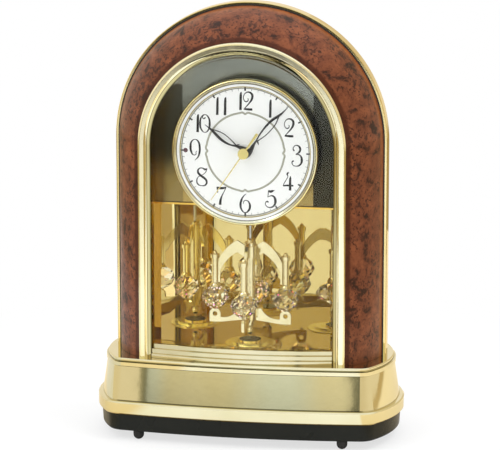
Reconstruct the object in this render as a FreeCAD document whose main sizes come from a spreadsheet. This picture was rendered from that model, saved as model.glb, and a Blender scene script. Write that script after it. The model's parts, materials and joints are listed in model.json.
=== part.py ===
import FreeCAD, Part
import Sketcher
import math
import os
import re
from FreeCAD import Placement, Rotation, Vector

os.makedirs("parts", exist_ok=True)
doc = FreeCAD.newDocument("BeehiveShelfClock")
sheet = doc.addObject("Spreadsheet::Sheet", "Sizes")

# The frame: X to the right seen from the dial side, Y from the dial to the back, Z up.
# The origin is under the middle of the base, on the surface that the feet stand on.

# Driving sizes, in millimetres and degrees
SIZES = {
    # Base, measured at its widest level
    "base_depth": 119.0,
    "bow_radius": 600.0,
    "side_radius": 82.0,
    "side_centre_x": 28.0,
    "side_centre_y": -2.5,
    "front_corner_radius": 16.0,
    "rear_corner_radius": 26.0,
    "foot_height": 6.5,
    "foot_radius": 3.8,
    "foot_round": 1.6,
    "foot_front_inset": 37.0,
    "foot_rear_inset": 35.0,
    "foot_front_setback": 12.7,
    "foot_rear_setback": 17.5,
    "plinth_height": 12.5,
    "plinth_inset": 2.4,
    "plinth_draft": 1.6,
    "plinth_wall": 2.4,
    "plinth_floor": 2.0,
    "flange_height": 9.0,
    "flange_round": 0.9,
    "flange_step": 3.2,
    "step_rise": 0.3,
    "panel_height": 24.4,
    "panel_batter": 3.6,
    "bead_height": 2.6,
    "bead_proud": 0.8,
    "deck_step_height": 2.4,
    "deck_step_inset": 1.3,
    "deck_round": 0.7,
    "shroud_wall": 2.2,
    # Arched case
    "trim_radius": 73.6,
    "trim_face_y": -42.5,
    "trim_round": 1.8,
    "trim_flat": 2.6,
    "trim_cove": 4.0,
    "trim_cove_width": 2.8,
    "trim_cove_depth": 1.7,
    "trim_step_depth": 0.6,
    "trim_lip_depth": 1.4,
    "trim_depth": 6.2,
    "window_radius": 64.8,
    "rebate_width": 1.5,
    "burl_rear_radius": 94.6,
    "burl_rear_y": -4.5,
    "burl_curve": 53.5,
    "burl_wall": 2.5,
    "burl_lip": 3.2,
    "groove_width": 1.0,
    "rim_width": 1.8,
    "rim_depth": 10.0,
    "rim_round": 0.7,
    "case_setback": 8.1,
    "case_wall": 2.5,
    "case_taper": 10.0,
    "case_corner": 6.0,
    "case_inner_corner": 4.0,
    "case_lip": 3.3,
    "ledge_width": 8.0,
    "ledge_depth": 3.0,
    # Bowed window and its sill
    "glass_wall": 1.5,
    "glass_gap": 0.3,
    "glass_flange_wall": 2.1,
    "glass_flange_gap": 0.2,
    "glass_bow_radius": 282.0,
    "glass_front_y": -44.4,
    "sill_height": 9.7,
    "sill_front_y": -49.0,
    "sill_tread": 1.8,
    "sill_land": 1.4,
    "sill_steps": 3.0,
    "sill_gap": 0.2,
    # Mirror chamber
    "jamb_wall": 1.5,
    "jamb_flange": 7.9,
    "jamb_rear_y": -13.5,
    "floor_height": 5.2,
    "chamber_height": 101.0,
    "ceiling_wall": 2.0,
    "mirror_rear_gap": 0.6,
    "mirror_inset": 2.3,
    "mirror_foot_width": 2.9,
    "mirror_wall_y": 2.8,
    "backboard_wall": 2.0,
    # Dial and movement
    "dial_drop": 5.7,
    "dial_face_y": -25.5,
    "dial_wall": 1.0,
    "dial_radius": 49.6,
    "bezel_radius": 52.0,
    "bezel_inner_radius": 48.8,
    "bezel_proud": 3.0,
    "bezel_round": 1.5,
    "track_ring_radius": 45.9,
    "track_ring_proud": 1.7,
    "track_ring_step": 0.8,
    "cup_back_radius": 36.0,
    "cup_wall": 1.6,
    "sensor_radius": 1.6,
    "sensor_place": 42.5,
    "sensor_proud": 0.5,
    "movement_gap": 2.0,
    "movement_width": 56.0,
    "movement_depth": 18.0,
    "movement_corner": 4.0,
    "post_radius": 4.0,
    "post_front_y": -27.0,
    "post_rear_y": -5.0,
    "nut_radius": 6.0,
    "nut_wall": 1.4,
    "hour_tube_radius": 2.5,
    "minute_tube_radius": 1.75,
    "second_arbor_radius": 0.9,
    "tube_end_gap": 0.5,
    "running_gap": 0.05,
    "set_knob_drop": 15.5,
    "set_stem_radius": 2.0,
    "set_stem_depth": 3.0,
    "knob_radius": 8.0,
    "knob_depth": 4.0,
    "knob_round": 0.8,
    "knob_flute_radius": 0.9,
    "knob_flutes": 12.0,
    "knob_gap": 0.3,
    # Hands
    "hour_length": 34.0,
    "hour_leaf_start": 8.5,
    "hour_leaf_end": 25.5,
    "hour_plane_y": -28.9,
    "hour_angle": 306.5,
    "minute_length": 46.5,
    "minute_leaf_start": 12.0,
    "minute_leaf_end": 35.0,
    "minute_plane_y": -30.7,
    "minute_angle": 44.5,
    "leaf_half_width": 3.3,
    "leaf_limb": 0.75,
    "leaf_limb_thick": 1.6,
    "hand_wall": 0.5,
    "hand_collet_radius": 3.4,
    "hand_collet_depth": 1.3,
    "hand_stem_width": 3.2,
    "hand_tip_width": 0.5,
    "second_length": 40.7,
    "second_tail": 17.4,
    "second_tail_width": 2.0,
    "second_plane_y": -32.5,
    "second_angle": 214.4,
    "second_cap_radius": 3.8,
    "second_cap_depth": 1.5,
    "barb_width": 1.6,
    "barb_height": 1.3,
    # Rotating pendulum and its drive. Levels are heights above the chamber's floor
    "pendulum_y": -5.5,
    "rod_radius": 1.0,
    "bushing_radius": 3.0,
    "bushing_flange_radius": 4.5,
    "bushing_flange_depth": 1.0,
    "drive_width": 52.0,
    "drive_depth": 38.0,
    "drive_height": 9.0,
    "drive_front_gap": 0.5,
    "rod_end_gap": 1.2,
    "arm_count": 4.0,
    "arm_radius": 25.5,
    "arm_plate": 2.0,
    "pillar_radius": 2.4,
    "pillar_collar_radius": 3.2,
    "pillar_collar_height": 2.6,
    "pillar_finial_radius": 1.7,
    "pillar_finial_height": 2.6,
    "pillar_cup_radius": 3.9,
    "pillar_cup_height": 3.0,
    "collar_level": 61.4,
    "column_radius": 3.4,
    "column_collar_radius": 4.2,
    "column_collar_height": 2.0,
    "column_foot_level": 25.5,
    "column_head_level": 72.7,
    "cap_height": 1.0,
    "finial_radius": 2.5,
    "finial_height": 2.7,
    "finial_tip": 0.5,
    "hub_radius": 3.6,
    "hub_foot_level": 13.0,
    "drop_radius": 2.6,
    "drop_reach": 2.3,
    "drop_neck": 1.4,
    "drop_level": 8.9,
    "pivot_radius": 0.8,
    "pivot_depth": 2.2,
    "pivot_gap": 0.3,
    "arch_peak_radius": 9.4,
    "arch_peak_level": 74.6,
    "arch_band": 8.4,
    "arch_root_drop": 3.9,
    "arch_shoulder_drop": 2.6,
    "arch_curve": 30.0,
    "arch_strip": 1.3,
    "arch_strip_level": 43.7,
    "arch_haunch_level": 51.7,
    "crystal_radius": 9.8,
    "crystal_foot_level": 24.5,
    "crystal_height": 16.0,
    "crystal_sides": 8.0,
    "tab_width": 8.0,
    "tab_foot_level": 14.7,
    "tab_hole_radius": 1.7,
    "arm_inner_level": 17.1,
    "arm_neck": 4.4,
    "casting_sleeve": 0.9,
    "arm_curve": 13.0,
    "button_radius": 1.1,
    "button_height": 1.5,
    "pedestal_radius": 7.9,
    "pedestal_height": 3.2,
    "pedestal_ring_radius": 13.0,
    "pedestal_ring_height": 1.9,
    "pedestal_dish_radius": 18.0,
    "pedestal_dish_height": 0.7,
    # Back of the case
    "cover_wall": 2.5,
    "cover_gap": 0.3,
    "cover_foot_gap": 0.3,
    "screw_radius": 1.3,
    "screw_head_radius": 2.8,
    "screw_head_height": 1.4,
    "screw_gap": 0.2,
    "screw_low_rise": 23.7,
    "screw_mid_drop": 49.2,
    "screw_arch_angle": 50.0,
    "screw_inset": 4.3,
    "bay_edge_gap": 1.8,
    "bay_rise": 19.7,
    "bay_side_gap": 0.7,
    "bay_spring": 0.9,
    "bay_lid_gap": 0.9,
    "bay_wall": 2.0,
    "cell_gap": 0.3,
    "cell_nub_radius": 2.6,
    "cell_nub_height": 1.2,
    "cell_radius": 7.1,
    "cell_length": 50.0,
    "contact_wall": 0.6,
    "contact_width": 10.0,
    "door_gap": 0.3,
    "door_lap": 0.7,
    "door_wall": 2.0,
    "door_knuckle_radius": 1.6,
    "door_pin_radius": 0.8,
    "door_pin_length": 1.8,
    "door_tail": 4.5,
    "lug_width": 2.6,
    "lug_height": 4.6,
    "lug_depth": 2.6,
    "grip_width": 14.0,
    "grip_height": 4.0,
    "grip_depth": 0.8,
    "speaker_ledge_gap": 5.5,
    "speaker_radius": 25.0,
    "speaker_depth": 19.0,
    "speaker_magnet_radius": 13.0,
    "speaker_magnet_depth": 8.0,
    "speaker_frame_wall": 2.5,
    "speaker_cone_depth": 8.0,
    "speaker_cap_radius": 6.0,
    "slot_width": 34.0,
    "slot_height": 2.2,
    "slot_pitch": 5.4,
    "slot_count": 7.0,
    "board_edge_gap": 5.3,
    "board_drop": 1.2,
    "board_width": 44.0,
    "board_wall": 1.6,
    "board_gap": 6.0,
    "standoff_radius": 2.4,
    "standoff_inset": 4.4,
    "volume_spread": 8.0,
    "controls_rise": 8.0,
    "volume_stem_radius": 3.0,
    "volume_knob_radius": 7.0,
    "volume_knob_depth": 3.6,
    "volume_pot_width": 10.0,
    "volume_pot_depth": 2.6,
    "button_spread": 11.0,
    "play_stem_radius": 3.6,
    "play_flange_radius": 5.2,
    "play_flange_wall": 1.2,
    "play_travel": 2.0,
    "play_proud": 2.8,
    "play_gap": 0.15,
    "play_tact_height": 1.5,
    "play_tact_width": 6.0,
    "switch_drop": 12.0,
    "switch_travel": 8.0,
    "switch_width": 4.0,
    "switch_height": 5.0,
    "switch_plate_width": 21.0,
    "switch_plate_height": 9.0,
    "switch_plate_wall": 1.2,
    "switch_proud": 2.2,
    "switch_gap": 0.3,
    "overrun": 1.0,
}

# Places worked out from the driving sizes
RULES = {
    "base_rear": "base_depth / 2",
    "bow_centre_y": "bow_radius - base_depth / 2",
    "plinth_top": "foot_height + plinth_height",
    "flange_top": "plinth_top + flange_height",
    "panel_foot": "flange_top + step_rise",
    "panel_head": "panel_foot + panel_height",
    "bead_foot": "panel_head + step_rise",
    "bead_top": "bead_foot + bead_height",
    "deck_step": "bead_top + step_rise",
    "base_top": "deck_step + deck_step_height",
    "panel_head_inset": "flange_step + panel_batter",
    "bead_inset": "panel_head_inset - bead_proud",
    "deck_step_edge": "bead_inset + deck_step_inset",
    "foot_front_y": "foot_front_setback - base_depth / 2",
    "foot_rear_y": "base_rear - foot_rear_setback",
    "foot_front_x": "side_centre_x + side_radius - foot_front_inset",
    "foot_rear_x": "side_centre_x + side_radius - foot_rear_inset",
    "case_rear_y": "base_rear - case_setback",
    "floor_top": "base_top + floor_height",
    "chamber_top": "floor_top + chamber_height",
    "ceiling_top": "chamber_top + ceiling_wall",
    "drive_top": "ceiling_top + drive_height",
    "dial_height": "drive_top + movement_gap + movement_width / 2",
    "arch_centre": "dial_height + dial_drop",
    "rim_inner": "burl_rear_radius + groove_width",
    "rim_radius": "rim_inner + rim_width",
    "case_inner": "rim_inner - case_wall",
    "case_flat": "rim_inner - case_taper - case_corner",
    "cover_seat": "case_rear_y - cover_wall",
    "cover_opening": "case_flat - case_lip",
    "ledge_inner": "cover_opening - ledge_width",
    "ledge_front": "cover_seat - ledge_depth",
    "cover_radius": "cover_opening - cover_gap",
    "screw_place": "cover_opening - screw_inset",
    "cover_foot": "base_top + cover_foot_gap",
    "trim_rear_y": "trim_face_y + trim_depth",
    "trim_lip_y": "trim_face_y + trim_cove_depth + trim_step_depth",
    "rebate_y": "trim_lip_y + trim_lip_depth",
    "rebate_radius": "window_radius + rebate_width",
    "glass_radius": "window_radius - glass_gap",
    "glass_flange_radius": "rebate_radius - glass_flange_gap",
    "glass_rear_y": "rebate_y + glass_flange_wall",
    "sill_top": "base_top + sill_height",
    "sill_half": "window_radius - sill_gap",
    "sill_bow": "glass_bow_radius - sqrt(glass_bow_radius * glass_bow_radius"
                " - sill_half * sill_half)",
    "sill_rear_y": "sill_front_y + (sill_steps - 1) * sill_tread + sill_bow + sill_land",
    "jamb_radius": "window_radius",
    "backboard_y": "jamb_rear_y - backboard_wall",
    "mirror_back_apex": "cover_seat - mirror_rear_gap",
    "mirror_apex_y": "mirror_back_apex - mirror_wall_y",
    "mirror_half_width": "jamb_radius - mirror_inset",
    "mirror_back_half": "mirror_half_width + mirror_foot_width",
    "dial_rear_y": "dial_face_y + dial_wall",
    "bezel_front_y": "dial_face_y - bezel_proud",
    "movement_rear_y": "jamb_rear_y + movement_depth",
    "post_bore": "hour_tube_radius + running_gap",
    "hour_bore": "minute_tube_radius + running_gap",
    "minute_bore": "second_arbor_radius + running_gap",
    "tube_rear_y": "post_rear_y - tube_end_gap",
    "rod_bore": "rod_radius + running_gap",
    "finial_top": "column_head_level + cap_height + finial_height",
    "rod_top": "drive_top - rod_end_gap - floor_top",
    "pivot_foot": "pedestal_height - pivot_depth",
    "pivot_bore": "pivot_radius + running_gap",
    "tab_spring_level": "crystal_foot_level - tab_width / 2",
    "arch_strip_face": "pillar_face - arch_strip",
    "pillar_face": "arm_radius - pillar_radius",
    "cup_foot_level": "crystal_foot_level + crystal_height",
    "bay_foot": "base_top + bay_rise",
    "bay_x": "ledge_inner - bay_edge_gap - bay_wall - bay_width / 2",
    "bay_width": "(cell_radius + cell_gap) * 4 + bay_side_gap * 2",
    "bay_height": "(cell_length + contact_wall) * 2 + cell_gap * 3 + bay_spring",
    "bay_depth": "cell_radius * 2 + cell_gap + bay_lid_gap",
    "bay_top": "bay_foot + bay_height",
    "bay_front_y": "cover_seat - bay_depth",
    "door_axis_y": "case_rear_y - door_knuckle_radius",
    "door_axis_z": "bay_foot - bay_wall - door_tail + door_gap + door_knuckle_radius",
    "door_opening_foot": "bay_foot - bay_wall - door_tail",
    "door_opening_top": "bay_top + door_lap",
    "door_opening_half": "bay_width / 2 + door_lap",
    "door_half": "door_opening_half - door_gap",
    "set_knob_height": "dial_height - set_knob_drop",
    "speaker_height": "arch_centre + ledge_inner - speaker_ledge_gap - speaker_radius",
    "board_x": "board_edge_gap + board_width / 2 - ledge_inner",
    "board_z": "arch_centre - board_drop",
    "controls_z": "board_z + controls_rise",
    "volume_x": "board_x + volume_spread",
    "button_x": "board_x - button_spread",
    "switch_z": "board_z - switch_drop",
    "board_front_y": "cover_seat - board_gap - board_wall",
    "board_rear_y": "cover_seat - board_gap",
    "knob_front_y": "case_rear_y + knob_gap",
}

for row, (name, size) in enumerate(SIZES.items(), start=1):
    sheet.set(f"A{row}", name)
    sheet.set(f"B{row}", str(size))
    sheet.setAlias(f"B{row}", name)
doc.recompute()


def rule(text):
    """Writes a rule in the sheet's own names, with the worked-out places spelled out."""
    def spell(word):
        name = word.group(0)
        if name in RULES:
            return "(" + rule(RULES[name]) + ")"
        return "Sizes." + name if name in SIZES else name
    return re.sub(r"[a-z][a-z_]*", spell, text)


def value(text):
    """The number that a rule gives now."""
    return float(sheet.evalExpression(rule(text)))


GROWS_FORWARD = {"XY": True, "XZ": False, "YZ": True}
subparts = []
open_sketches = {}


def add_body(label, x="0", y="0", z="0", axis=Vector(0, 0, 1), turn=0.0):
    """A sub-part's body, placed by rules and turned about one axis."""
    body = doc.addObject("PartDesign::Body", label)
    body.Label = label
    place = Vector(value(x), value(y), value(z))
    body.Placement = Placement(place, Rotation(axis, turn))
    for side, text in (("x", x), ("y", y), ("z", z)):
        body.setExpression("Placement.Base." + side, rule(text))
    subparts.append(body)
    return body


def add_sketch(body, plane="XY", at="0"):
    """A sketch on one of the body's own planes, moved along the plane's axis to a level."""
    sketch = body.newObject("Sketcher::SketchObject", body.Label + "_sketch")
    role = plane + "_Plane"
    origin_plane = [part for part in body.Origin.OriginFeatures if part.Role == role][0]
    sketch.AttachmentSupport = (origin_plane, [""])
    sketch.MapMode = "FlatFace"
    level = at if GROWS_FORWARD[plane] else "-(" + at + ")"
    sketch.setExpression("AttachmentOffset.Base.z", rule(level))
    open_sketches[sketch.Name] = plane
    return sketch


def hold(sketch, kind, geometry, point, text):
    """One dimension of a sketch, bound to a rule."""
    if kind == "Radius":
        index = sketch.addConstraint(Sketcher.Constraint(kind, geometry, value(text)))
    else:
        limit = Sketcher.Constraint(kind, -1, 1, geometry, point, value(text))
        index = sketch.addConstraint(limit)
    sketch.renameConstraint(index, f"size_{index}")
    sketch.setExpression(f"Constraints.size_{index}", rule(text))


def arc_between(start, end, radius, side):
    """A minor arc; side is 1 where its centre lies to the left of the way from start to end."""
    chord = end - start
    reach = math.sqrt(max(radius ** 2 - chord.Length ** 2 / 4, 0))
    centre = (start + end) / 2 + Vector(-chord.y, chord.x, 0).normalize() * reach * side
    first, last = (start, end) if side > 0 else (end, start)
    angle_first = math.atan2(first.y - centre.y, first.x - centre.x)
    angle_last = math.atan2(last.y - centre.y, last.x - centre.x)
    if angle_last < angle_first:
        angle_last += 2 * math.pi
    circle = Part.Circle(centre, Vector(0, 0, 1), radius)
    return Part.ArcOfCircle(circle, angle_first, angle_last)


def outline(sketch, corners, curves=None):
    """A closed outline through corners given as pairs of rules. curves names the edges that
    are arcs, by the corner they start from, with the rule of the radius and the side."""
    curves = curves or {}
    places = [Vector(value(x), value(y), 0) for x, y in corners]
    first = sketch.GeometryCount
    starts, stops = [], []
    for edge, start in enumerate(places):
        stop = places[(edge + 1) % len(places)]
        if edge in curves:
            radius, side = curves[edge]
            sketch.addGeometry(arc_between(start, stop, value(radius), side), False)
        else:
            side = 1
            sketch.addGeometry(Part.LineSegment(start, stop), False)
        starts.append((first + edge, 1 if side > 0 else 2))
        stops.append((first + edge, 2 if side > 0 else 1))
    joins = [Sketcher.Constraint("Coincident", *stops[edge - 1], *starts[edge])
             for edge in range(len(places))]
    sketch.addConstraint(joins)
    for edge, (x, y) in enumerate(corners):
        hold(sketch, "DistanceX", *starts[edge], x)
        hold(sketch, "DistanceY", *starts[edge], y)
        if edge in curves:
            hold(sketch, "Radius", first + edge, 0, curves[edge][0])
    return sketch


def circle(sketch, radius, x="0", y="0"):
    """A circle round a place given by rules."""
    centre = Vector(value(x), value(y), 0)
    index = sketch.addGeometry(Part.Circle(centre, Vector(0, 0, 1), value(radius)), False)
    hold(sketch, "DistanceX", index, 3, x)
    hold(sketch, "DistanceY", index, 3, y)
    hold(sketch, "Radius", index, 0, radius)
    return sketch


def rectangle(sketch, left, right, low, high):
    """An upright rectangle between four rules."""
    return outline(sketch, [(left, low), (right, low), (right, high), (left, high)])


def arch(sketch, radius, foot, rise="0"):
    """A round-headed outline, with its head's centre at the rise and its foot below it."""
    head = f"({rise}) + ({radius})"
    return outline(sketch,
                   [(f"-({radius})", foot), (radius, foot), (radius, rise), ("0", head),
                    (f"-({radius})", rise)],
                   {2: (radius, 1), 3: (radius, 1)})


def add_feature(sketch, kind, name):
    """A feature of the sketch's body that uses the sketch as its profile."""
    body = sketch.getParentGeoFeatureGroup()
    feature = body.newObject("PartDesign::" + kind, body.Label + "_" + name)
    feature.Profile = sketch
    return feature


def pad(sketch, length):
    """Material from the sketch towards +X, +Y or +Z."""
    feature = add_feature(sketch, "Pad", "pad")
    feature.Reversed = not GROWS_FORWARD[open_sketches[sketch.Name]]
    feature.setExpression("Length", rule(length))
    return feature


def pocket(sketch, length):
    """A cut from the sketch towards +X, +Y or +Z."""
    feature = add_feature(sketch, "Pocket", "pocket")
    feature.Reversed = GROWS_FORWARD[open_sketches[sketch.Name]]
    feature.setExpression("Length", rule(length))
    return feature


def revolve(sketch, angle=360.0, flipped=False):
    """A turned form about the sketch's upright axis."""
    feature = add_feature(sketch, "Revolution", "turned")
    feature.ReferenceAxis = (sketch, ["V_Axis"])
    feature.Angle = angle
    feature.Reversed = flipped
    return feature


def turned_about_y(label, corners, curves=None, z="dial_height"):
    """A ring or disc turned about the Y axis, from a profile in radius and Y."""
    body = add_body(label, z=z)
    revolve(outline(add_sketch(body, "XY"), corners, curves))
    return body


def turned_about_z(label, corners, curves=None, x="0", y="pendulum_y", z="floor_top"):
    """A turned piece about an upright axis, from a profile in radius and height."""
    body = add_body(label, x=x, y=y, z=z)
    revolve(outline(add_sketch(body, "XZ"), corners, curves))
    return body


def mirrored(corners, curves):
    """The same outline on the other side of the middle plane."""
    flipped_corners = [(f"-({x})", y) for x, y in corners]
    flipped_curves = {edge: (radius, -side) for edge, (radius, side) in curves.items()}
    return flipped_corners, flipped_curves


def arched_moulding(label, corners, curves=None, foot="base_top"):
    """A moulding that goes up one side of the case, over the arch and down the other side,
    from its profile in distance from the arch's centre and Y."""
    curves = curves or {}
    body = add_body(label, z="arch_centre")
    revolve(outline(add_sketch(body, "XY"), corners, curves), 180.0, True)
    legs = add_sketch(body, "XY", f"({foot}) - arch_centre")
    outline(legs, corners, curves)
    outline(legs, *mirrored(corners, curves))
    pad(legs, f"arch_centre - ({foot})")
    return body


# Base: plan outline, one closed curve of eight tangent parts, drawn at a level and an inset

def base_plan(body, level, inset):
    """The plan of the base: a bowed front, rounded sides and corners, and a straight back."""
    sketch = add_sketch(body, "XY", level)
    shrink = value(inset)
    rear = value("base_rear") - shrink
    bow = value("bow_radius") - shrink
    side = value("side_radius") - shrink
    front_corner = value("front_corner_radius") - shrink
    rear_corner = value("rear_corner_radius") - shrink
    bow_centre = Vector(0, value("bow_centre_y"), 0)
    side_centre = Vector(value("side_centre_x"), value("side_centre_y"), 0)
    # The front corner's centre lies where circles about the two other centres cross
    span = side_centre - bow_centre
    near, far = bow - front_corner, side - front_corner
    along = (near ** 2 - far ** 2 + span.Length ** 2) / (2 * span.Length)
    across = math.sqrt(near ** 2 - along ** 2)
    ahead = Vector(span).normalize()
    front_centre = bow_centre + ahead * along + Vector(-ahead.y, ahead.x, 0) * across
    if front_centre.x < 0:
        front_centre = bow_centre + ahead * along - Vector(-ahead.y, ahead.x, 0) * across
    rear_y = rear - rear_corner
    rear_reach = math.sqrt((side - rear_corner) ** 2 - (rear_y - side_centre.y) ** 2)
    rear_centre = Vector(side_centre.x + rear_reach, rear_y, 0)

    def touch(from_centre, to_centre, radius):
        return from_centre + (to_centre - from_centre).normalize() * radius

    def flip(place):
        return Vector(-place.x, place.y, 0)

    front_touch = touch(bow_centre, front_centre, bow)
    side_low = touch(side_centre, front_centre, side)
    side_high = touch(side_centre, rear_centre, side)
    rear_touch = Vector(rear_centre.x, rear, 0)
    edges = [
        arc_between(flip(front_touch), front_touch, bow, 1),
        arc_between(front_touch, side_low, front_corner, 1),
        arc_between(side_low, side_high, side, 1),
        arc_between(side_high, rear_touch, rear_corner, 1),
        Part.LineSegment(rear_touch, flip(rear_touch)),
        arc_between(flip(rear_touch), flip(side_high), rear_corner, 1),
        arc_between(flip(side_high), flip(side_low), side, 1),
        arc_between(flip(side_low), flip(front_touch), front_corner, 1),
    ]
    sketch.addGeometry(edges, False)
    joins = [Sketcher.Constraint("Tangent", edge - 1 if edge else len(edges) - 1, 2, edge, 1)
             for edge in range(len(edges))]
    sketch.addConstraint(joins)
    sketch.addConstraint(Sketcher.Constraint("Horizontal", 4))
    radii = {0: "bow_radius", 1: "front_corner_radius", 2: "side_radius",
             3: "rear_corner_radius", 5: "rear_corner_radius", 6: "side_radius",
             7: "front_corner_radius"}
    for edge, radius in radii.items():
        hold(sketch, "Radius", edge, 0, f"{radius} - ({inset})")
    hold(sketch, "DistanceX", 0, 3, "0")
    hold(sketch, "DistanceY", 0, 3, "bow_centre_y")
    for edge, sign in ((2, ""), (6, "-")):
        hold(sketch, "DistanceX", edge, 3, sign + "side_centre_x")
        hold(sketch, "DistanceY", edge, 3, "side_centre_y")
    hold(sketch, "DistanceY", 4, 1, f"base_rear - ({inset})")
    return sketch


def base_loft(body, kind, levels):
    """A straight-ruled loft through the base plan at levels and insets."""
    plans = [base_plan(body, level, inset) for level, inset in levels]
    feature = body.newObject("PartDesign::" + kind, body.Label + "_loft")
    feature.Profile = plans[0]
    feature.Sections = [(plan, [""]) for plan in plans[1:]]
    feature.Ruled = True
    return feature


shroud = add_body("base_shroud")
base_loft(shroud, "AdditiveLoft", [
    ("plinth_top", "flange_round"),
    ("plinth_top + flange_round", "0"),
    ("flange_top - flange_round", "0"),
    ("flange_top", "flange_round"),
    ("panel_foot", "flange_step"),
    ("panel_head", "panel_head_inset"),
    ("bead_foot", "bead_inset"),
    ("bead_top", "bead_inset"),
    ("deck_step", "deck_step_edge"),
    ("base_top - deck_round", "deck_step_edge"),
    ("base_top", "deck_step_edge + deck_round"),
])
base_loft(shroud, "SubtractiveLoft", [
    ("plinth_top - overrun", "flange_step + shroud_wall"),
    ("panel_foot", "flange_step + shroud_wall"),
    ("panel_head", "panel_head_inset + shroud_wall"),
    ("base_top - shroud_wall", "deck_step_edge + shroud_wall"),
])

plinth = add_body("plinth")
base_loft(plinth, "AdditiveLoft", [
    ("foot_height", "plinth_inset + plinth_draft"),
    ("foot_height + flange_round", "plinth_inset + plinth_draft - flange_round"),
    ("plinth_top", "plinth_inset"),
])
base_loft(plinth, "SubtractiveLoft", [
    ("foot_height + plinth_floor", "plinth_inset + plinth_draft + plinth_wall"),
    ("plinth_top + overrun", "plinth_inset + plinth_draft + plinth_wall"),
])

# Rubber feet: turned buttons under the corners of the plinth, rounded where they stand
FOOT_CORNERS = [
    ("0", "0"),
    ("foot_radius - foot_round", "0"),
    ("foot_radius", "foot_round"),
    ("foot_radius", "foot_height"),
    ("0", "foot_height"),
]
for name, x, y in (("foot_front_left", "-(foot_front_x)", "foot_front_y"),
                   ("foot_front_right", "foot_front_x", "foot_front_y"),
                   ("foot_rear_left", "-(foot_rear_x)", "foot_rear_y"),
                   ("foot_rear_right", "foot_rear_x", "foot_rear_y")):
    turned_about_z(name, FOOT_CORNERS, {1: ("foot_round", 1)}, x, y, "0")

# Case: front trim, burl band, gold rim and black rear shell, all on one arch centre
arched_moulding("front_trim", [
    ("window_radius", "rebate_y"),
    ("window_radius", "trim_lip_y"),
    ("trim_radius - trim_round - trim_flat - trim_cove_width", "trim_face_y + trim_cove_depth"),
    ("trim_radius - trim_round - trim_flat", "trim_face_y"),
    ("trim_radius - trim_round", "trim_face_y"),
    ("trim_radius", "trim_face_y + trim_round"),
    ("trim_radius", "trim_rear_y"),
    ("rebate_radius", "trim_rear_y"),
    ("rebate_radius", "rebate_y"),
], {2: ("trim_cove", -1), 4: ("trim_round", 1)})

arched_moulding("burl_arch", [
    ("trim_radius", "trim_face_y + trim_round"),
    ("burl_rear_radius", "burl_rear_y"),
    ("burl_rear_radius - burl_wall", "burl_rear_y"),
    ("trim_radius", "trim_face_y + trim_round + burl_lip"),
], {0: ("burl_curve", 1), 2: ("burl_curve - burl_wall", -1)})

arched_moulding("rear_rim", [
    ("rim_inner", "burl_rear_y"),
    ("rim_radius - rim_round", "burl_rear_y"),
    ("rim_radius", "burl_rear_y + rim_round"),
    ("rim_radius", "burl_rear_y + rim_depth - rim_round"),
    ("rim_radius - rim_round", "burl_rear_y + rim_depth"),
    ("rim_inner", "burl_rear_y + rim_depth"),
], {1: ("rim_round", 1), 3: ("rim_round", 1)})

arched_moulding("rear_case", [
    ("rim_inner", "burl_rear_y"),
    ("rim_inner", "burl_rear_y + rim_depth"),
    ("rim_inner - case_taper", "case_rear_y - case_corner"),
    ("case_flat", "case_rear_y"),
    ("cover_opening", "case_rear_y"),
    ("cover_opening", "cover_seat"),
    ("ledge_inner", "cover_seat"),
    ("ledge_inner", "ledge_front"),
    ("case_inner - case_taper - case_inner_corner", "ledge_front"),
    ("case_inner - case_taper", "ledge_front - case_inner_corner"),
    ("case_inner", "burl_rear_y + rim_depth"),
    ("case_inner", "burl_rear_y"),
], {2: ("case_corner", 1), 8: ("case_inner_corner", -1)})

arched_moulding("jamb", [
    ("jamb_radius", "trim_rear_y"),
    ("jamb_radius + jamb_flange", "trim_rear_y"),
    ("jamb_radius + jamb_flange", "trim_rear_y + jamb_wall"),
    ("jamb_radius + jamb_wall", "trim_rear_y + jamb_wall"),
    ("jamb_radius + jamb_wall", "jamb_rear_y"),
    ("jamb_radius", "jamb_rear_y"),
])

# Window: clear moulding with a front bowed about an upright axis and a flange in the rebate

def prism(sketch, length):
    """A plain extrusion of a free sketch along its own normal."""
    solid = doc.addObject("Part::Extrusion", sketch.Label + "_prism")
    solid.Base = sketch
    solid.DirMode = "Normal"
    solid.Solid = True
    solid.setExpression("LengthFwd", rule(length))
    return solid


def free_sketch(label, plane, at):
    """A sketch of its own, laid on a main plane at a level."""
    sketch = doc.addObject("Sketcher::SketchObject", label)
    if plane == "XY":
        sketch.Placement = Placement(Vector(0, 0, value(at)), Rotation())
        sketch.setExpression("Placement.Base.z", rule(at))
    else:
        sketch.Placement = Placement(Vector(0, value(at), 0), Rotation(Vector(1, 0, 0), 90))
        sketch.setExpression("Placement.Base.y", rule(at))
    return sketch


def joined(kind, label, shapes):
    """A boolean of several solids."""
    solid = doc.addObject("Part::" + kind, label)
    solid.Shapes = shapes
    return solid


def bowed_form(label, inset, spare):
    """The window's form at an inset: an arched prism cut off in front by the bow. spare
    carries it past the window's back and foot, where it is used as a cutter."""
    foot = f"sill_top - ({spare})"
    rear = f"glass_rear_y + ({spare})"
    bow = f"(glass_bow_radius - ({inset}))"
    reach = "(window_radius + overrun)"
    edge = f"glass_front_y + glass_bow_radius - sqrt({bow} * {bow} - {reach} * {reach})"
    head = arch(free_sketch(label + "_arch", "XZ", rear), f"glass_radius - ({inset})", foot,
                "arch_centre")
    plan = outline(free_sketch(label + "_plan", "XY", foot),
                   [("-" + reach, edge), (reach, edge), (reach, rear), ("-" + reach, rear)],
                   {0: (bow, 1)})
    return joined("MultiCommon", label, [
        prism(head, f"{rear} - glass_front_y + overrun"),
        prism(plan, "arch_centre - sill_top + window_radius + overrun + overrun"),
    ])


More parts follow.
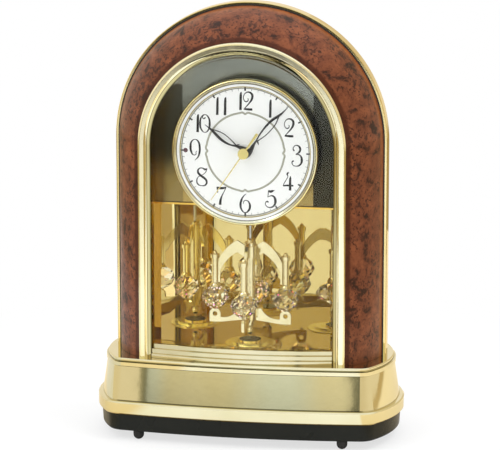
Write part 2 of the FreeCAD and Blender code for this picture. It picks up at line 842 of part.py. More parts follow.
flange_outer = prism(arch(free_sketch("flange_outer", "XZ", "glass_rear_y"),
                          "glass_flange_radius", "sill_top", "arch_centre"),
                     "glass_flange_wall - glass_flange_gap")
flange_inner = prism(arch(free_sketch("flange_inner", "XZ", "glass_rear_y + overrun"),
                          "glass_radius - glass_wall", "sill_top - overrun", "arch_centre"),
                     "glass_flange_wall + overrun + overrun")
flange = doc.addObject("Part::Cut", "window_flange")
flange.Base = flange_outer
flange.Tool = flange_inner
window = doc.addObject("Part::Cut", "window_glass")
window.Base = joined("MultiFuse", "window_shell", [bowed_form("bow_outer", "0", "0"), flange])
window.Tool = bowed_form("bow_inner", "glass_wall", "overrun")
window.Label = "window_glass"
subparts.append(window)

# Sill: three bowed steps under the window
sill = add_body("window_sill")
for step in range(int(value("sill_steps"))):
    tread = f"sill_front_y + {step} * sill_tread + glass_bow_radius"
    end = f"{tread} - sqrt(glass_bow_radius * glass_bow_radius - sill_half * sill_half)"
    step_sketch = add_sketch(sill, "XY", f"base_top + {step} * sill_height / sill_steps")
    outline(step_sketch, [("-sill_half", end), ("sill_half", end),
                          ("sill_half", "sill_rear_y"), ("-sill_half", "sill_rear_y")],
            {0: ("glass_bow_radius", 1)})
    pad(step_sketch, "sill_height / sill_steps")

# Chamber: raised mirror floor, two mirrors that meet behind the pendulum, and a ceiling
chamber_floor = add_body("chamber_floor")
pad(outline(add_sketch(chamber_floor, "XY", "base_top"),
            [("-jamb_radius", "sill_rear_y"), ("jamb_radius", "sill_rear_y"),
             ("jamb_radius", "jamb_rear_y"), ("0", "mirror_back_apex"),
             ("-jamb_radius", "jamb_rear_y")]), "floor_height")

for side, sign in (("left", "-"), ("right", "")):
    mirror = add_body("mirror_" + side)
    pad(outline(add_sketch(mirror, "XY", "floor_top"),
                [("0", "mirror_apex_y"), (sign + "mirror_half_width", "jamb_rear_y"),
                 (f"{sign}(mirror_back_half)", "jamb_rear_y"), ("0", "mirror_back_apex")]),
        "chamber_top - floor_top")

ceiling = add_body("chamber_ceiling")
pad(outline(add_sketch(ceiling, "XY", "chamber_top"),
            [("-(mirror_back_half)", "jamb_rear_y"), ("mirror_back_half", "jamb_rear_y"),
             ("0", "mirror_back_apex")]), "ceiling_wall")
pocket(circle(add_sketch(ceiling, "XY", "chamber_top - overrun"), "bushing_radius", "0",
              "pendulum_y"), "ceiling_wall + overrun + overrun")

backboard = add_body("dial_backboard")
pad(arch(add_sketch(backboard, "XZ", "backboard_y"), "jamb_radius", "chamber_top",
         "arch_centre"), "backboard_wall")
pocket(circle(add_sketch(backboard, "XZ", "backboard_y - overrun"), "post_radius", "0",
              "dial_height"), "backboard_wall + overrun + overrun")

# Dial: a cup on the backboard carries the plate, the white track ring and the bezel
turned_about_y("dial_cup", [
    ("post_radius", "backboard_y"),
    ("cup_back_radius", "backboard_y"),
    ("dial_radius + cup_wall", "dial_rear_y"),
    ("dial_radius", "dial_rear_y"),
    ("cup_back_radius - cup_wall", "backboard_y - cup_wall"),
    ("post_radius", "backboard_y - cup_wall"),
])

dial = turned_about_y("dial_plate", [
    ("post_radius", "dial_face_y"),
    ("dial_radius", "dial_face_y"),
    ("dial_radius", "dial_rear_y"),
    ("post_radius", "dial_rear_y"),
])
pocket(circle(add_sketch(dial, "XZ", "dial_face_y - overrun"), "sensor_radius",
              "-sensor_place", "0"), "dial_wall + overrun + overrun")

turned_about_y("dial_bezel", [
    ("bezel_inner_radius", "dial_face_y"),
    ("bezel_inner_radius", "bezel_front_y + bezel_round"),
    ("bezel_radius - bezel_round", "bezel_front_y"),
    ("bezel_radius", "bezel_front_y + bezel_round"),
    ("bezel_radius", "dial_rear_y"),
    ("dial_radius", "dial_rear_y"),
    ("dial_radius", "dial_face_y"),
], {2: ("bezel_round", 1)})

turned_about_y("track_ring", [
    ("track_ring_radius", "dial_face_y"),
    ("track_ring_radius", "dial_face_y - track_ring_step"),
    ("track_ring_radius + track_ring_step", "dial_face_y - track_ring_step"),
    ("track_ring_radius + track_ring_step", "dial_face_y - track_ring_proud"),
    ("bezel_inner_radius", "dial_face_y - track_ring_proud"),
    ("bezel_inner_radius", "dial_face_y"),
])

light_sensor = add_body("light_sensor", x="-sensor_place", z="dial_height")
revolve(outline(add_sketch(light_sensor, "XY"), [
    ("0", "dial_face_y - sensor_proud"),
    ("sensor_radius", "dial_face_y"),
    ("sensor_radius", "dial_rear_y"),
    ("0", "dial_rear_y"),
]))

# Clock movement behind the backboard, with its threaded post and nut


def rounded_rectangle(sketch, left, right, low, high, radius):
    """An upright rectangle with round corners."""
    return outline(sketch, [
        (f"({left}) + ({radius})", low), (f"({right}) - ({radius})", low),
        (right, f"({low}) + ({radius})"), (right, f"({high}) - ({radius})"),
        (f"({right}) - ({radius})", high), (f"({left}) + ({radius})", high),
        (left, f"({high}) - ({radius})"), (left, f"({low}) + ({radius})"),
    ], {edge: (radius, 1) for edge in (1, 3, 5, 7)})


movement = add_body("movement_case")
half_movement = "movement_width / 2"
pad(rounded_rectangle(add_sketch(movement, "XZ", "jamb_rear_y"), "-" + half_movement,
                      half_movement, "dial_height - " + half_movement,
                      "dial_height + " + half_movement, "movement_corner"), "movement_depth")
pocket(circle(add_sketch(movement, "XZ", "jamb_rear_y - overrun"), "post_radius", "0",
              "dial_height"), "post_rear_y - jamb_rear_y + overrun")
pocket(circle(add_sketch(movement, "XZ", "movement_rear_y - set_stem_depth"),
              "set_stem_radius + running_gap", "0", "set_knob_height"),
       "set_stem_depth + overrun")

turned_about_y("centre_post", [
    ("post_bore", "post_front_y"),
    ("post_radius", "post_front_y"),
    ("post_radius", "post_rear_y"),
    ("post_bore", "post_rear_y"),
])

turned_about_y("dial_nut", [
    ("post_radius", "dial_face_y - nut_wall"),
    ("nut_radius", "dial_face_y - nut_wall"),
    ("nut_radius", "dial_face_y"),
    ("post_radius", "dial_face_y"),
])

# Hands on three nested arbors


def bow_radius_rule(chord, rise):
    """The radius of an arc with a chord and the height of its crown."""
    return f"((({chord}) * ({chord})) / 4 + ({rise}) * ({rise})) / (2 * ({rise}))"


def arbor(body, outer, bore, front):
    """A turned tube or pin on the dial's axis, from the hand back to the movement."""
    revolve(outline(add_sketch(body, "XY"), [(bore, front), (outer, front),
                                             (outer, "tube_rear_y"), (bore, "tube_rear_y")]))


def leaf_hand(name, tube):
    """An openwork leaf hand with a barb at the leaf's foot, a collet and a tube behind it."""
    start, end, length = f"{name}_leaf_start", f"{name}_leaf_end", f"{name}_length"
    plane = f"{name}_plane_y"
    neck = "hand_stem_width / 4"
    bore = name + "_bore"
    body = add_body(name + "_hand", z="dial_height", axis=Vector(0, 1, 0),
                    turn=value(name + "_angle"))
    arbor(body, tube, bore, plane)
    collet = circle(add_sketch(body, "XZ", plane), "hand_collet_radius")
    circle(collet, bore)
    pad(collet, "hand_collet_depth")
    blade = add_sketch(body, "XZ", plane)
    leaf = f"{end} - {start}"
    outer = bow_radius_rule(leaf, f"leaf_half_width - {neck}")
    stem = "hand_stem_width / 2"
    root = f"sqrt(hand_collet_radius * hand_collet_radius - {stem} * {stem}) - hand_wall"
    outline(blade, [
        (stem, root), (neck, f"{start} - barb_height - leaf_limb_thick"),
        (f"{neck} + barb_width", f"{start} - barb_height"), (neck, start), (neck, end),
        ("hand_tip_width / 2", length), ("-hand_tip_width / 2", length),
        ("-" + neck, end), ("-" + neck, start), ("-" + stem, root),
    ], {3: (outer, 1), 7: (outer, 1)})
    low, high = f"{start} + leaf_limb_thick", f"{end} - leaf_limb_thick"
    opening = f"({high}) - ({low})"
    outline(blade, [("0", low), ("0", high)], {
        0: (bow_radius_rule(opening, "leaf_half_width - leaf_limb"), 1),
        1: (bow_radius_rule(opening, "leaf_half_width - leaf_limb_thick"), 1),
    })
    pad(blade, "hand_wall")


leaf_hand("hour", "hour_tube_radius")
leaf_hand("minute", "minute_tube_radius")

second_hand = add_body("second_hand", z="dial_height", axis=Vector(0, 1, 0),
                       turn=value("second_angle"))
arbor(second_hand, "second_arbor_radius", "0", "second_plane_y")
pad(outline(add_sketch(second_hand, "XZ", "second_plane_y - hand_wall"), [
    ("second_tail_width / 2", "-second_tail"),
    ("hand_tip_width", "0"),
    ("hand_tip_width / 2", "second_length"),
    ("-hand_tip_width / 2", "second_length"),
    ("-hand_tip_width", "0"),
    ("-second_tail_width / 2", "-second_tail"),
]), "hand_wall")
pad(circle(add_sketch(second_hand, "XZ", "second_plane_y - second_cap_depth"),
           "second_cap_radius"), "second_cap_depth")

# Pendulum: it hangs on a rod from the drive above the ceiling and turns about an upright axis
bushing_under = "chamber_top - bushing_flange_depth"
turned_about_z("rod_bushing", [
    ("rod_bore", bushing_under),
    ("bushing_flange_radius", bushing_under),
    ("bushing_flange_radius", "chamber_top"),
    ("bushing_radius", "chamber_top"),
    ("bushing_radius", "ceiling_top"),
    ("rod_bore", "ceiling_top"),
], z="0")

drive = add_body("pendulum_drive")
drive_front = "jamb_rear_y + drive_front_gap"
pad(rectangle(add_sketch(drive, "XY", "ceiling_top"), "-drive_width / 2", "drive_width / 2",
              drive_front, f"{drive_front} + drive_depth"), "drive_height")
pocket(circle(add_sketch(drive, "XY", "ceiling_top - overrun"), "rod_bore", "0",
              "pendulum_y"), "floor_top + rod_top + pivot_gap - ceiling_top + overrun")

turned_about_z("pendulum_rod", [
    ("0", "finial_top"), ("rod_radius", "finial_top"), ("rod_radius", "rod_top"),
    ("0", "rod_top"),
])

turned_about_z("pendulum_column", [
    ("0", "pivot_foot + pivot_gap"),
    ("pivot_radius", "pivot_foot + pivot_gap"),
    ("pivot_radius", "drop_level - drop_reach"),
    ("drop_neck", "drop_level + drop_reach"),
    ("drop_neck", "hub_foot_level"),
    ("hub_radius", "hub_foot_level"),
    ("hub_radius", "column_foot_level"),
    ("column_collar_radius", "column_foot_level"),
    ("column_collar_radius", "column_foot_level + column_collar_height"),
    ("column_radius", "column_foot_level + column_collar_height"),
    ("column_radius", "column_head_level"),
    ("column_collar_radius", "column_head_level"),
    ("column_collar_radius", "column_head_level + cap_height"),
    ("finial_radius", "column_head_level + cap_height"),
    ("finial_tip", "finial_top"),
    ("0", "finial_top"),
], {2: ("drop_radius", 1), 13: ("finial_height", 1)})

ARMS = (("right", 0.0, "arm_radius", "pendulum_y"),
        ("rear", 90.0, "0", "pendulum_y + arm_radius"),
        ("left", 180.0, "-arm_radius", "pendulum_y"),
        ("front", 270.0, "0", "pendulum_y - arm_radius"))
CRYSTAL_SHARES = ((0.0, 0.36), (0.22, 0.8), (0.5, 1.0), (0.78, 0.84), (1.0, 0.43))


def cut_crystal():
    """A faceted crystal: rings of corners, each turned half a side from the last, joined by
    flat triangles between two flat tables."""
    sides = int(value("crystal_sides"))
    girdle, height = value("crystal_radius"), value("crystal_height")
    rings = []
    for row, (rise_share, radius_share) in enumerate(CRYSTAL_SHARES):
        turn = math.pi / sides * (row % 2)
        ring = [Vector(girdle * radius_share * math.cos(turn + 2 * math.pi * side / sides),
                       girdle * radius_share * math.sin(turn + 2 * math.pi * side / sides),
                       height * rise_share) for side in range(sides)]
        rings.append(ring)
    facets = [Part.Face(Part.makePolygon(ring + [ring[0]])) for ring in (rings[0], rings[-1])]
    for row in range(len(rings) - 1):
        low, high = rings[row], rings[row + 1]
        for side in range(sides):
            after = (side + 1) % sides
            if row % 2 == 0:
                pair = ((low[side], low[after], high[side]),
                        (low[after], high[after], high[side]))
            else:
                pair = ((low[side], high[after], high[side]),
                        (low[side], low[after], high[after]))
            facets += [Part.Face(Part.makePolygon([*facet, facet[0]])) for facet in pair]
    solid = Part.Solid(Part.makeShell(facets))
    return solid if solid.Volume > 0 else solid.reversed()


def cross_casting(label, inner, low, high):
    """The sleeve of a casting round the pendulum's column, ready for its arms."""
    body = add_body(label, y="pendulum_y", z="floor_top")
    revolve(outline(add_sketch(body, "XZ"), [
        (inner, low), (f"{inner} + casting_sleeve", low), (f"{inner} + casting_sleeve", high),
        (inner, high),
    ]))
    return body


def four_arms(body, features):
    """Repeats the features of one arm round the column."""
    ring = body.newObject("PartDesign::PolarPattern", body.Label + "_arms")
    ring.Originals = features
    axis = [part for part in body.Origin.OriginFeatures if part.Role == "Z_Axis"][0]
    ring.Axis = (axis, [""])
    ring.Angle = 360.0
    ring.setExpression("Occurrences", rule("arm_count"))
    body.Tip = ring


arches = cross_casting("upper_arches", "column_radius",
                       "arch_peak_level - arch_band - arch_root_drop",
                       "arch_peak_level - arch_root_drop")
four_arms(arches, [pad(outline(add_sketch(arches, "XZ", "-arm_plate / 2"), [
    ("column_radius", "arch_peak_level - arch_root_drop"),
    ("arch_peak_radius", "arch_peak_level"),
    ("pillar_face", "collar_level - arch_shoulder_drop"),
    ("pillar_face", "arch_strip_level"),
    ("arch_strip_face", "arch_strip_level"),
    ("arch_strip_face", "arch_haunch_level"),
    ("arch_peak_radius", "arch_peak_level - arch_band"),
    ("column_radius", "arch_peak_level - arch_band - arch_root_drop"),
], {1: ("arch_curve", -1), 5: ("arch_curve", 1)}), "arm_plate")])

arms = cross_casting("lower_arms", "hub_radius", "arm_inner_level", "column_foot_level")
arm_sketch = outline(add_sketch(arms, "XZ", "-arm_plate / 2"), [
    ("hub_radius", "arm_inner_level"),
    ("arm_radius - tab_width / 2", "tab_foot_level"),
    ("arm_radius + tab_width / 2", "tab_foot_level"),
    ("arm_radius + tab_width / 2", "tab_spring_level"),
    ("arm_radius", "crystal_foot_level"),
    ("arm_radius - tab_width / 2", "tab_spring_level"),
    ("arm_radius - tab_width / 2", "arm_inner_level + button_radius"),
    ("hub_radius + arm_neck", "column_foot_level"),
    ("hub_radius", "column_foot_level"),
], {3: ("tab_width / 2", 1), 4: ("tab_width / 2", 1), 6: ("arm_curve", -1)})
circle(arm_sketch, "tab_hole_radius", "arm_radius", "tab_spring_level")
four_arms(arms, [
    pad(arm_sketch, "arm_plate"),
    pad(circle(add_sketch(arms, "XY", "tab_foot_level - button_height"), "button_radius",
               "arm_radius", "0"), "button_height"),
])

for name, turn, x, y in ARMS:
    turned_about_z("pillar_" + name, [
        ("0", "cup_foot_level"),
        ("pillar_cup_radius", "cup_foot_level"),
        ("pillar_radius", "cup_foot_level + pillar_cup_height"),
        ("pillar_radius", "collar_level"),
        ("pillar_collar_radius", "collar_level"),
        ("pillar_collar_radius", "collar_level + pillar_collar_height"),
        ("pillar_finial_radius", "collar_level + pillar_collar_height"),
        ("finial_tip", "collar_level + pillar_collar_height + pillar_finial_height"),
        ("0", "collar_level + pillar_collar_height + pillar_finial_height"),
    ], {1: ("pillar_cup_radius", 1), 6: ("pillar_finial_height", 1)}, x, y)

    crystal = doc.addObject("Part::Feature", "crystal_" + name)
    crystal.Label = "crystal_" + name
    crystal.Shape = cut_crystal()
    crystal.Placement = Placement(Vector(value(x), value(y),
                                         value("floor_top + crystal_foot_level")),
                                  Rotation(Vector(0, 0, 1), turn))
    subparts.append(crystal)

turned_about_z("pedestal", [
    ("0", "0"),
    ("pedestal_radius", "0"),
    ("pedestal_radius", "pedestal_height"),
    ("pivot_bore", "pedestal_height"),
    ("pivot_bore", "pivot_foot"),
    ("0", "pivot_foot"),
])
turned_about_z("pedestal_ring", [
    ("pedestal_radius", "0"),
    ("pedestal_dish_radius", "0"),
    ("pedestal_dish_radius", "pedestal_dish_height"),
    ("pedestal_ring_radius", "pedestal_dish_height"),
    ("pedestal_ring_radius", "pedestal_ring_height"),
    ("pedestal_radius", "pedestal_ring_height"),
])

# Back: an arched cover in the rear shell's rebate, held by six screws into the ledge
SCREW_PLACES = [
    (f"{sign}({place})", height)
    for sign in ("-", "")
    for place, height in (
        ("screw_place", "base_top + screw_low_rise"),
        ("screw_place", "arch_centre - screw_mid_drop"),
        ("screw_place * cos(screw_arch_angle)",
         "arch_centre + screw_place * sin(screw_arch_angle)"),
    )
]


def at_screws(sketch, radius, level="0"):
    """A circle of one radius at each screw, with heights taken from a level."""
    for x, z in SCREW_PLACES:
        circle(sketch, radius, x, f"{z} - ({level})")
    return sketch


rear_case = doc.getObject("rear_case")
pocket(at_screws(add_sketch(rear_case, "XZ", "ledge_front - overrun"), "screw_radius",
                 "arch_centre"), "ledge_depth + overrun")

cover = add_body("rear_cover")
pad(arch(add_sketch(cover, "XZ", "cover_seat"), "cover_radius", "cover_foot", "arch_centre"),
    "cover_wall")
standoff_reach = "(board_width / 2 - standoff_inset)"
standoffs = add_sketch(cover, "XZ", "board_rear_y")
for side_x in ("-", "+"):
    for side_z in ("-", "+"):
        circle(standoffs, "standoff_radius", f"board_x {side_x} {standoff_reach}",
               f"board_z {side_z} {standoff_reach}")
pad(standoffs, "board_gap")
lugs = add_sketch(cover, "XZ", "cover_seat - lug_depth")
lug_low, lug_high = "door_axis_z - lug_height / 2", "door_axis_z + lug_height / 2"
rectangle(lugs, "bay_x + door_opening_half", "bay_x + door_opening_half + lug_width",
          lug_low, lug_high)
rectangle(lugs, "bay_x - door_opening_half - lug_width", "bay_x - door_opening_half",
          lug_low, lug_high)
pad(lugs, "lug_depth")
through = "cover_wall + overrun + overrun"
openings = add_sketch(cover, "XZ", "cover_seat - overrun")
rectangle(openings, "bay_x - door_opening_half", "bay_x + door_opening_half",
          "door_opening_foot", "door_opening_top")
circle(openings, "set_stem_radius + knob_gap", "0", "set_knob_height")
circle(openings, "volume_stem_radius + running_gap", "volume_x", "controls_z")
circle(openings, "play_stem_radius + play_gap", "button_x", "controls_z")
switch_slot = "(switch_width / 2 + switch_travel / 2 + switch_gap)"
rectangle(openings, f"board_x - {switch_slot}", f"board_x + {switch_slot}",
          "switch_z - switch_height / 2 - switch_gap",
          "switch_z + switch_height / 2 + switch_gap")
at_screws(openings, "screw_radius + screw_gap")
pocket(openings, through)
pin_reach = "(door_opening_half + door_pin_length + running_gap)"
pocket(circle(add_sketch(cover, "YZ", f"bay_x - {pin_reach}"),
              "door_pin_radius + running_gap", "door_axis_y", "door_axis_z"),
       f"{pin_reach} * 2")
grille = add_sketch(cover, "XZ", "cover_seat - overrun")
grille_low = "speaker_height - slot_pitch * (slot_count - 1) / 2 - slot_height / 2"
rectangle(grille, "-slot_width / 2", "slot_width / 2", grille_low,
          f"{grille_low} + slot_height")
first_slot = pocket(grille, through)
slots = cover.newObject("PartDesign::LinearPattern", "grille_slots")
slots.Originals = [first_slot]
slots.Direction = (grille, ["V_Axis"])
slots.setExpression("Length", rule("slot_pitch * (slot_count - 1)"))
slots.setExpression("Occurrences", rule("slot_count"))
cover.Tip = slots


def pins(label, runs):
    """A group of turned pins along Y in one sub-part: each run is x, z, and its steps of
    radius, front and length."""
    solids = []
    for number, (x, z, steps) in enumerate(runs):
        for radius, front, length in steps:
            pin = doc.addObject("Part::Cylinder", f"{label}_{number}")
            pin.Placement = Placement(Vector(value(x), value(front), value(z)),
                                      Rotation(Vector(1, 0, 0), -90))
            pin.setExpression("Radius", rule(radius))
            pin.setExpression("Height", rule(length))
            for axis, text in (("x", x), ("y", front), ("z", z)):
                pin.setExpression("Placement.Base." + axis, rule(text))
            solids.append(pin)
    group = joined("MultiFuse", label, solids)
    group.Label = label
    subparts.append(group)
    return group


pins("cover_screws", [
    (x, z, [("screw_radius", "ledge_front", "ledge_depth + cover_wall"),
            ("screw_head_radius", "case_rear_y", "screw_head_height")])
    for x, z in SCREW_PLACES
])

# Speaker behind the grille
turned_about_y("speaker", [
    ("0", "cover_seat - speaker_depth"),
    ("speaker_magnet_radius", "cover_seat - speaker_depth"),
    ("speaker_magnet_radius", "cover_seat - speaker_depth + speaker_magnet_depth"),
    ("speaker_radius - speaker_frame_wall", "cover_seat - speaker_frame_wall"),
    ("speaker_radius", "cover_seat - speaker_frame_wall"),
    ("speaker_radius", "cover_seat"),
    ("speaker_radius - speaker_frame_wall", "cover_seat"),
    ("speaker_cap_radius", "cover_seat - speaker_cone_depth"),
    ("0", "cover_seat - speaker_cone_depth"),
], z="speaker_height")

# Sound board on four standoffs, with the parts that the controls work on
board = add_body("sound_board")
half_board = "board_width / 2"
pad(rectangle(add_sketch(board, "XZ", "board_front_y"), "board_x - " + half_board,
              "board_x + " + half_board, "board_z - " + half_board,
              "board_z + " + half_board), "board_wall")


def board_part(x, z, width, height, depth):
    """A rectangular component on the board's rear face."""
    pad(rectangle(add_sketch(board, "XZ", "board_rear_y"), f"{x} - {width} / 2",
                  f"{x} + {width} / 2", f"{z} - {height} / 2", f"{z} + {height} / 2"), depth)


switch_body_depth = "board_gap - switch_gap - switch_plate_wall - switch_gap"
board_part("volume_x", "controls_z", "volume_pot_width", "volume_pot_width",
           "volume_pot_depth")
board_part("button_x", "controls_z", "play_tact_width", "play_tact_width",
           "play_tact_height")
board_part("board_x", "switch_z", "switch_plate_height", "switch_height", switch_body_depth)

# Controls on the back


def knob(label, x, z, stem_radius, stem_front, head_radius, head_depth):
    """A turned knob: a stem through the cover and a round head outside it."""
    body = add_body(label, x=x, z=z)
    revolve(outline(add_sketch(body, "XY"), [
        ("0", stem_front), (stem_radius, stem_front), (stem_radius, "knob_front_y"),
        (head_radius, "knob_front_y"), (head_radius, f"knob_front_y + {head_depth} - knob_round"),
        (f"{head_radius} - knob_round", f"knob_front_y + {head_depth}"),
        ("0", f"knob_front_y + {head_depth}"),
    ], {4: ("knob_round", 1)}))
    flute = pocket(circle(add_sketch(body, "XZ", "knob_front_y - overrun"),
                          "knob_flute_radius", head_radius, "0"),
                   f"{head_depth} + overrun + overrun")
    ring = body.newObject("PartDesign::PolarPattern", label + "_flutes")
    ring.Originals = [flute]
    axis = [part for part in body.Origin.OriginFeatures if part.Role == "Y_Axis"][0]
    ring.Axis = (axis, [""])
    ring.Angle = 360.0
    ring.setExpression("Occurrences", rule("knob_flutes"))
    body.Tip = ring
    return body


knob("set_knob", "0", "set_knob_height", "set_stem_radius",
     "movement_rear_y - set_stem_depth + pivot_gap", "knob_radius", "knob_depth")
knob("volume_knob", "volume_x", "controls_z", "volume_stem_radius",
     "board_rear_y + volume_pot_depth + knob_gap", "volume_knob_radius", "volume_knob_depth")

play_button = add_body("play_button", x="button_x", z="controls_z")
play_front = "board_rear_y + play_tact_height + play_travel + knob_gap"
play_flange_rear = "cover_seat - knob_gap"
revolve(outline(add_sketch(play_button, "XY"), [
    ("0", play_front),
    ("play_stem_radius", play_front),
    ("play_stem_radius", f"{play_flange_rear} - play_flange_wall"),
    ("play_flange_radius", f"{play_flange_rear} - play_flange_wall"),
    ("play_flange_radius", play_flange_rear),
    ("play_stem_radius", play_flange_rear),
    ("play_stem_radius", "case_rear_y + play_proud - knob_round"),
    ("play_stem_radius - knob_round", "case_rear_y + play_proud"),
    ("0", "case_rear_y + play_proud"),
], {6: ("knob_round", 1)}))

mode_switch = add_body("mode_switch")
plate_rear = "cover_seat - switch_gap"
pad(rectangle(add_sketch(mode_switch, "XZ", f"{plate_rear} - switch_plate_wall"),
              "board_x - switch_plate_width / 2", "board_x + switch_plate_width / 2",
              "switch_z - switch_plate_height / 2", "switch_z + switch_plate_height / 2"),
    "switch_plate_wall")
pad(rectangle(add_sketch(mode_switch, "XZ", plate_rear), "board_x - switch_width / 2",
              "board_x + switch_width / 2", "switch_z - switch_height / 2",
              "switch_z + switch_height / 2"), "case_rear_y + switch_proud - cover_seat + switch_gap")

# Battery bay: an open tray behind the cover, four cells, contacts and a hinged door
tray = add_body("battery_tray")
tray_half = "(bay_width / 2 + bay_wall)"
pad(rectangle(add_sketch(tray, "XZ", "bay_front_y - bay_wall"), f"bay_x - {tray_half}",
              f"bay_x + {tray_half}", "bay_foot - bay_wall", "bay_top + bay_wall"),
    "bay_depth + bay_wall")
pocket(rectangle(add_sketch(tray, "XZ", "bay_front_y"), "bay_x - bay_width / 2",
                 "bay_x + bay_width / 2", "bay_foot", "bay_top"), "bay_depth + overrun")


def upright_group(label, solids):
    """A group of upright cylinders or plates in one sub-part. Each is a kind, the rules of
    its corner or centre and its sizes by property."""
    parts = []
    for kind, place, properties in solids:
        part = doc.addObject("Part::" + kind, label + "_part")
        part.Placement = Placement(Vector(*(value(text) for text in place)), Rotation())
        for axis, text in zip("xyz", place):
            part.setExpression("Placement.Base." + axis, rule(text))
        for name, text in properties.items():
            part.setExpression(name, rule(text))
        parts.append(part)
    group = joined("MultiFuse", label, parts)
    group.Label = label
    subparts.append(group)
    return group


cell_solids = []
cell_y = "bay_front_y + cell_radius + cell_gap"
for side in ("-", "+"):
    cell_x = f"bay_x {side} (cell_radius + cell_gap)"
    for storey in range(2):
        foot = (f"bay_foot + contact_wall + cell_gap"
                f" + {storey} * (cell_length + cell_gap)")
        cell_solids.append(("Cylinder", (cell_x, cell_y, foot),
                            {"Radius": "cell_radius", "Height": "cell_length - cell_nub_height"}))
        cell_solids.append(("Cylinder", (cell_x, cell_y, f"{foot} + cell_length - cell_nub_height"),
                            {"Radius": "cell_nub_radius", "Height": "cell_nub_height"}))
upright_group("battery_cells", cell_solids)

contact_sizes = {"Length": "bay_width", "Width": "contact_width", "Height": "contact_wall"}
contact_y = f"{cell_y} - contact_width / 2"
upright_group("battery_contacts", [
    ("Box", ("bay_x - bay_width / 2", contact_y, "bay_foot"), contact_sizes),
    ("Box", ("bay_x - bay_width / 2", contact_y, "bay_top - contact_wall"), contact_sizes),
])

door = add_body("battery_door")
pad(rectangle(add_sketch(door, "XZ", "case_rear_y - door_wall"), "bay_x - door_half",
              "bay_x + door_half", "door_axis_z", "door_opening_top - door_gap"), "door_wall")
pad(circle(add_sketch(door, "YZ", "bay_x - door_half"), "door_knuckle_radius",
           "door_axis_y", "door_axis_z"), "door_half * 2")
pin_half = "(door_opening_half + door_pin_length)"
pad(circle(add_sketch(door, "YZ", f"bay_x - {pin_half}"), "door_pin_radius", "door_axis_y",
           "door_axis_z"), f"{pin_half} * 2")
pocket(rectangle(add_sketch(door, "XZ", "case_rear_y - grip_depth"),
                 "bay_x - grip_width / 2", "bay_x + grip_width / 2",
                 "door_opening_top - grip_height - grip_height",
                 "door_opening_top - grip_height"), "grip_depth + overrun")

# Build, check and write every sub-part
doc.recompute()
faults = []
for item in doc.Objects:
    if "Invalid" in item.State or "Error" in item.State:
        faults.append(f"{item.Name}: {item.State}")
    if item.TypeId == "PartDesign::Pocket" and item.BaseFeature is not None:
        if item.Shape.Volume >= item.BaseFeature.Shape.Volume:
            faults.append(f"{item.Name}: cuts nothing")
for piece in subparts:
    if piece.Shape.isNull() or not piece.Shape.isValid():
        faults.append(f"{piece.Label}: no valid shape")
if faults:
    raise SystemExit("\n".join(faults))
for piece in subparts:
    piece.Shape.exportStep(f"parts/{piece.Label}.step")
    box = piece.Shape.BoundBox
    print(f"{piece.Label:22s} {len(piece.Shape.Solids)} solids  "
          f"x {box.XMin:7.1f} {box.XMax:7.1f}  y {box.YMin:7.1f} {box.YMax:7.1f}  "
          f"z {box.ZMin:7.1f} {box.ZMax:7.1f}")
print(len(subparts), "sub-parts")
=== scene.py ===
import json
import math
import bpy
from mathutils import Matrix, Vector


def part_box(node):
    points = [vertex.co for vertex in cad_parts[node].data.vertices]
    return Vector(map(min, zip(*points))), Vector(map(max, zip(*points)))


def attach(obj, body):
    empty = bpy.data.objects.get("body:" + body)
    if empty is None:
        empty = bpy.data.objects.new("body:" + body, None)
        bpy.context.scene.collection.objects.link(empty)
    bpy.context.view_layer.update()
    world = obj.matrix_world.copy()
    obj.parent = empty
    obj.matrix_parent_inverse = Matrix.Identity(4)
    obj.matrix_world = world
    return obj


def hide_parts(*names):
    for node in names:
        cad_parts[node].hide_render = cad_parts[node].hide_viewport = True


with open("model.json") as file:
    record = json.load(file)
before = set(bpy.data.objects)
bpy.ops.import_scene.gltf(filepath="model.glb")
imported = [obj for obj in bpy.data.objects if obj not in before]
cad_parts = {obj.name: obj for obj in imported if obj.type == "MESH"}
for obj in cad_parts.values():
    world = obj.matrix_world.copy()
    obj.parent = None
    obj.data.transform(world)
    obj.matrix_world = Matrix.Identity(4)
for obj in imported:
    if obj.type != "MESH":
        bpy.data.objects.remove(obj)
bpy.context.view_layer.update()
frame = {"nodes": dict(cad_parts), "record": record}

# Camera
# The photograph looks at the clock from a little to its right and a little above it, from
# far off, so the lens is long and the upright lines stay nearly parallel.
AIM = Vector((0.0047, -0.0325, 0.155))
TURN, RISE, REACH = math.radians(10.5), math.radians(11.7), 2.1
backwards = Vector((math.sin(TURN) * math.cos(RISE), -math.cos(TURN) * math.cos(RISE),
                    math.sin(RISE)))
camera = bpy.data.objects.new("camera", bpy.data.cameras.new("camera"))
bpy.context.collection.objects.link(camera)
camera.data.sensor_width = 36.0
camera.data.lens = 216.0
camera.location = AIM + backwards * REACH
camera.rotation_euler = backwards.to_track_quat("Z", "Y").to_euler()
bpy.context.scene.camera = camera
bpy.context.scene.view_settings.view_transform = "Standard"


# Table and studio
# The clock stands on a wide pale sheet in soft light: a large lamp above on each side, a weaker
# one overhead, and a pale room with warm and dark cards that only metal and glass mirror.
def srgb(red, green, blue):
    """A colour given in steps of 0 to 255 as the shader's own values."""
    steps = (red / 255, green / 255, blue / 255)
    return tuple(((step + 0.055) / 1.055) ** 2.4 for step in steps) + (1.0,)


def feed(tree, item, values):
    """Gives each named socket of a node a plain value, or joins another node's output to it."""
    for name, given in values.items():
        if isinstance(given, bpy.types.NodeSocket):
            tree.links.new(given, item.inputs[name])
        else:
            item.inputs[name].default_value = given


def add(tree, kind, values=None, **settings):
    """One shader node with its settings and its sockets' values."""
    item = tree.nodes.new("ShaderNode" + kind)
    for name, setting in settings.items():
        setattr(item, name, setting)
    feed(tree, item, values or {})
    return item


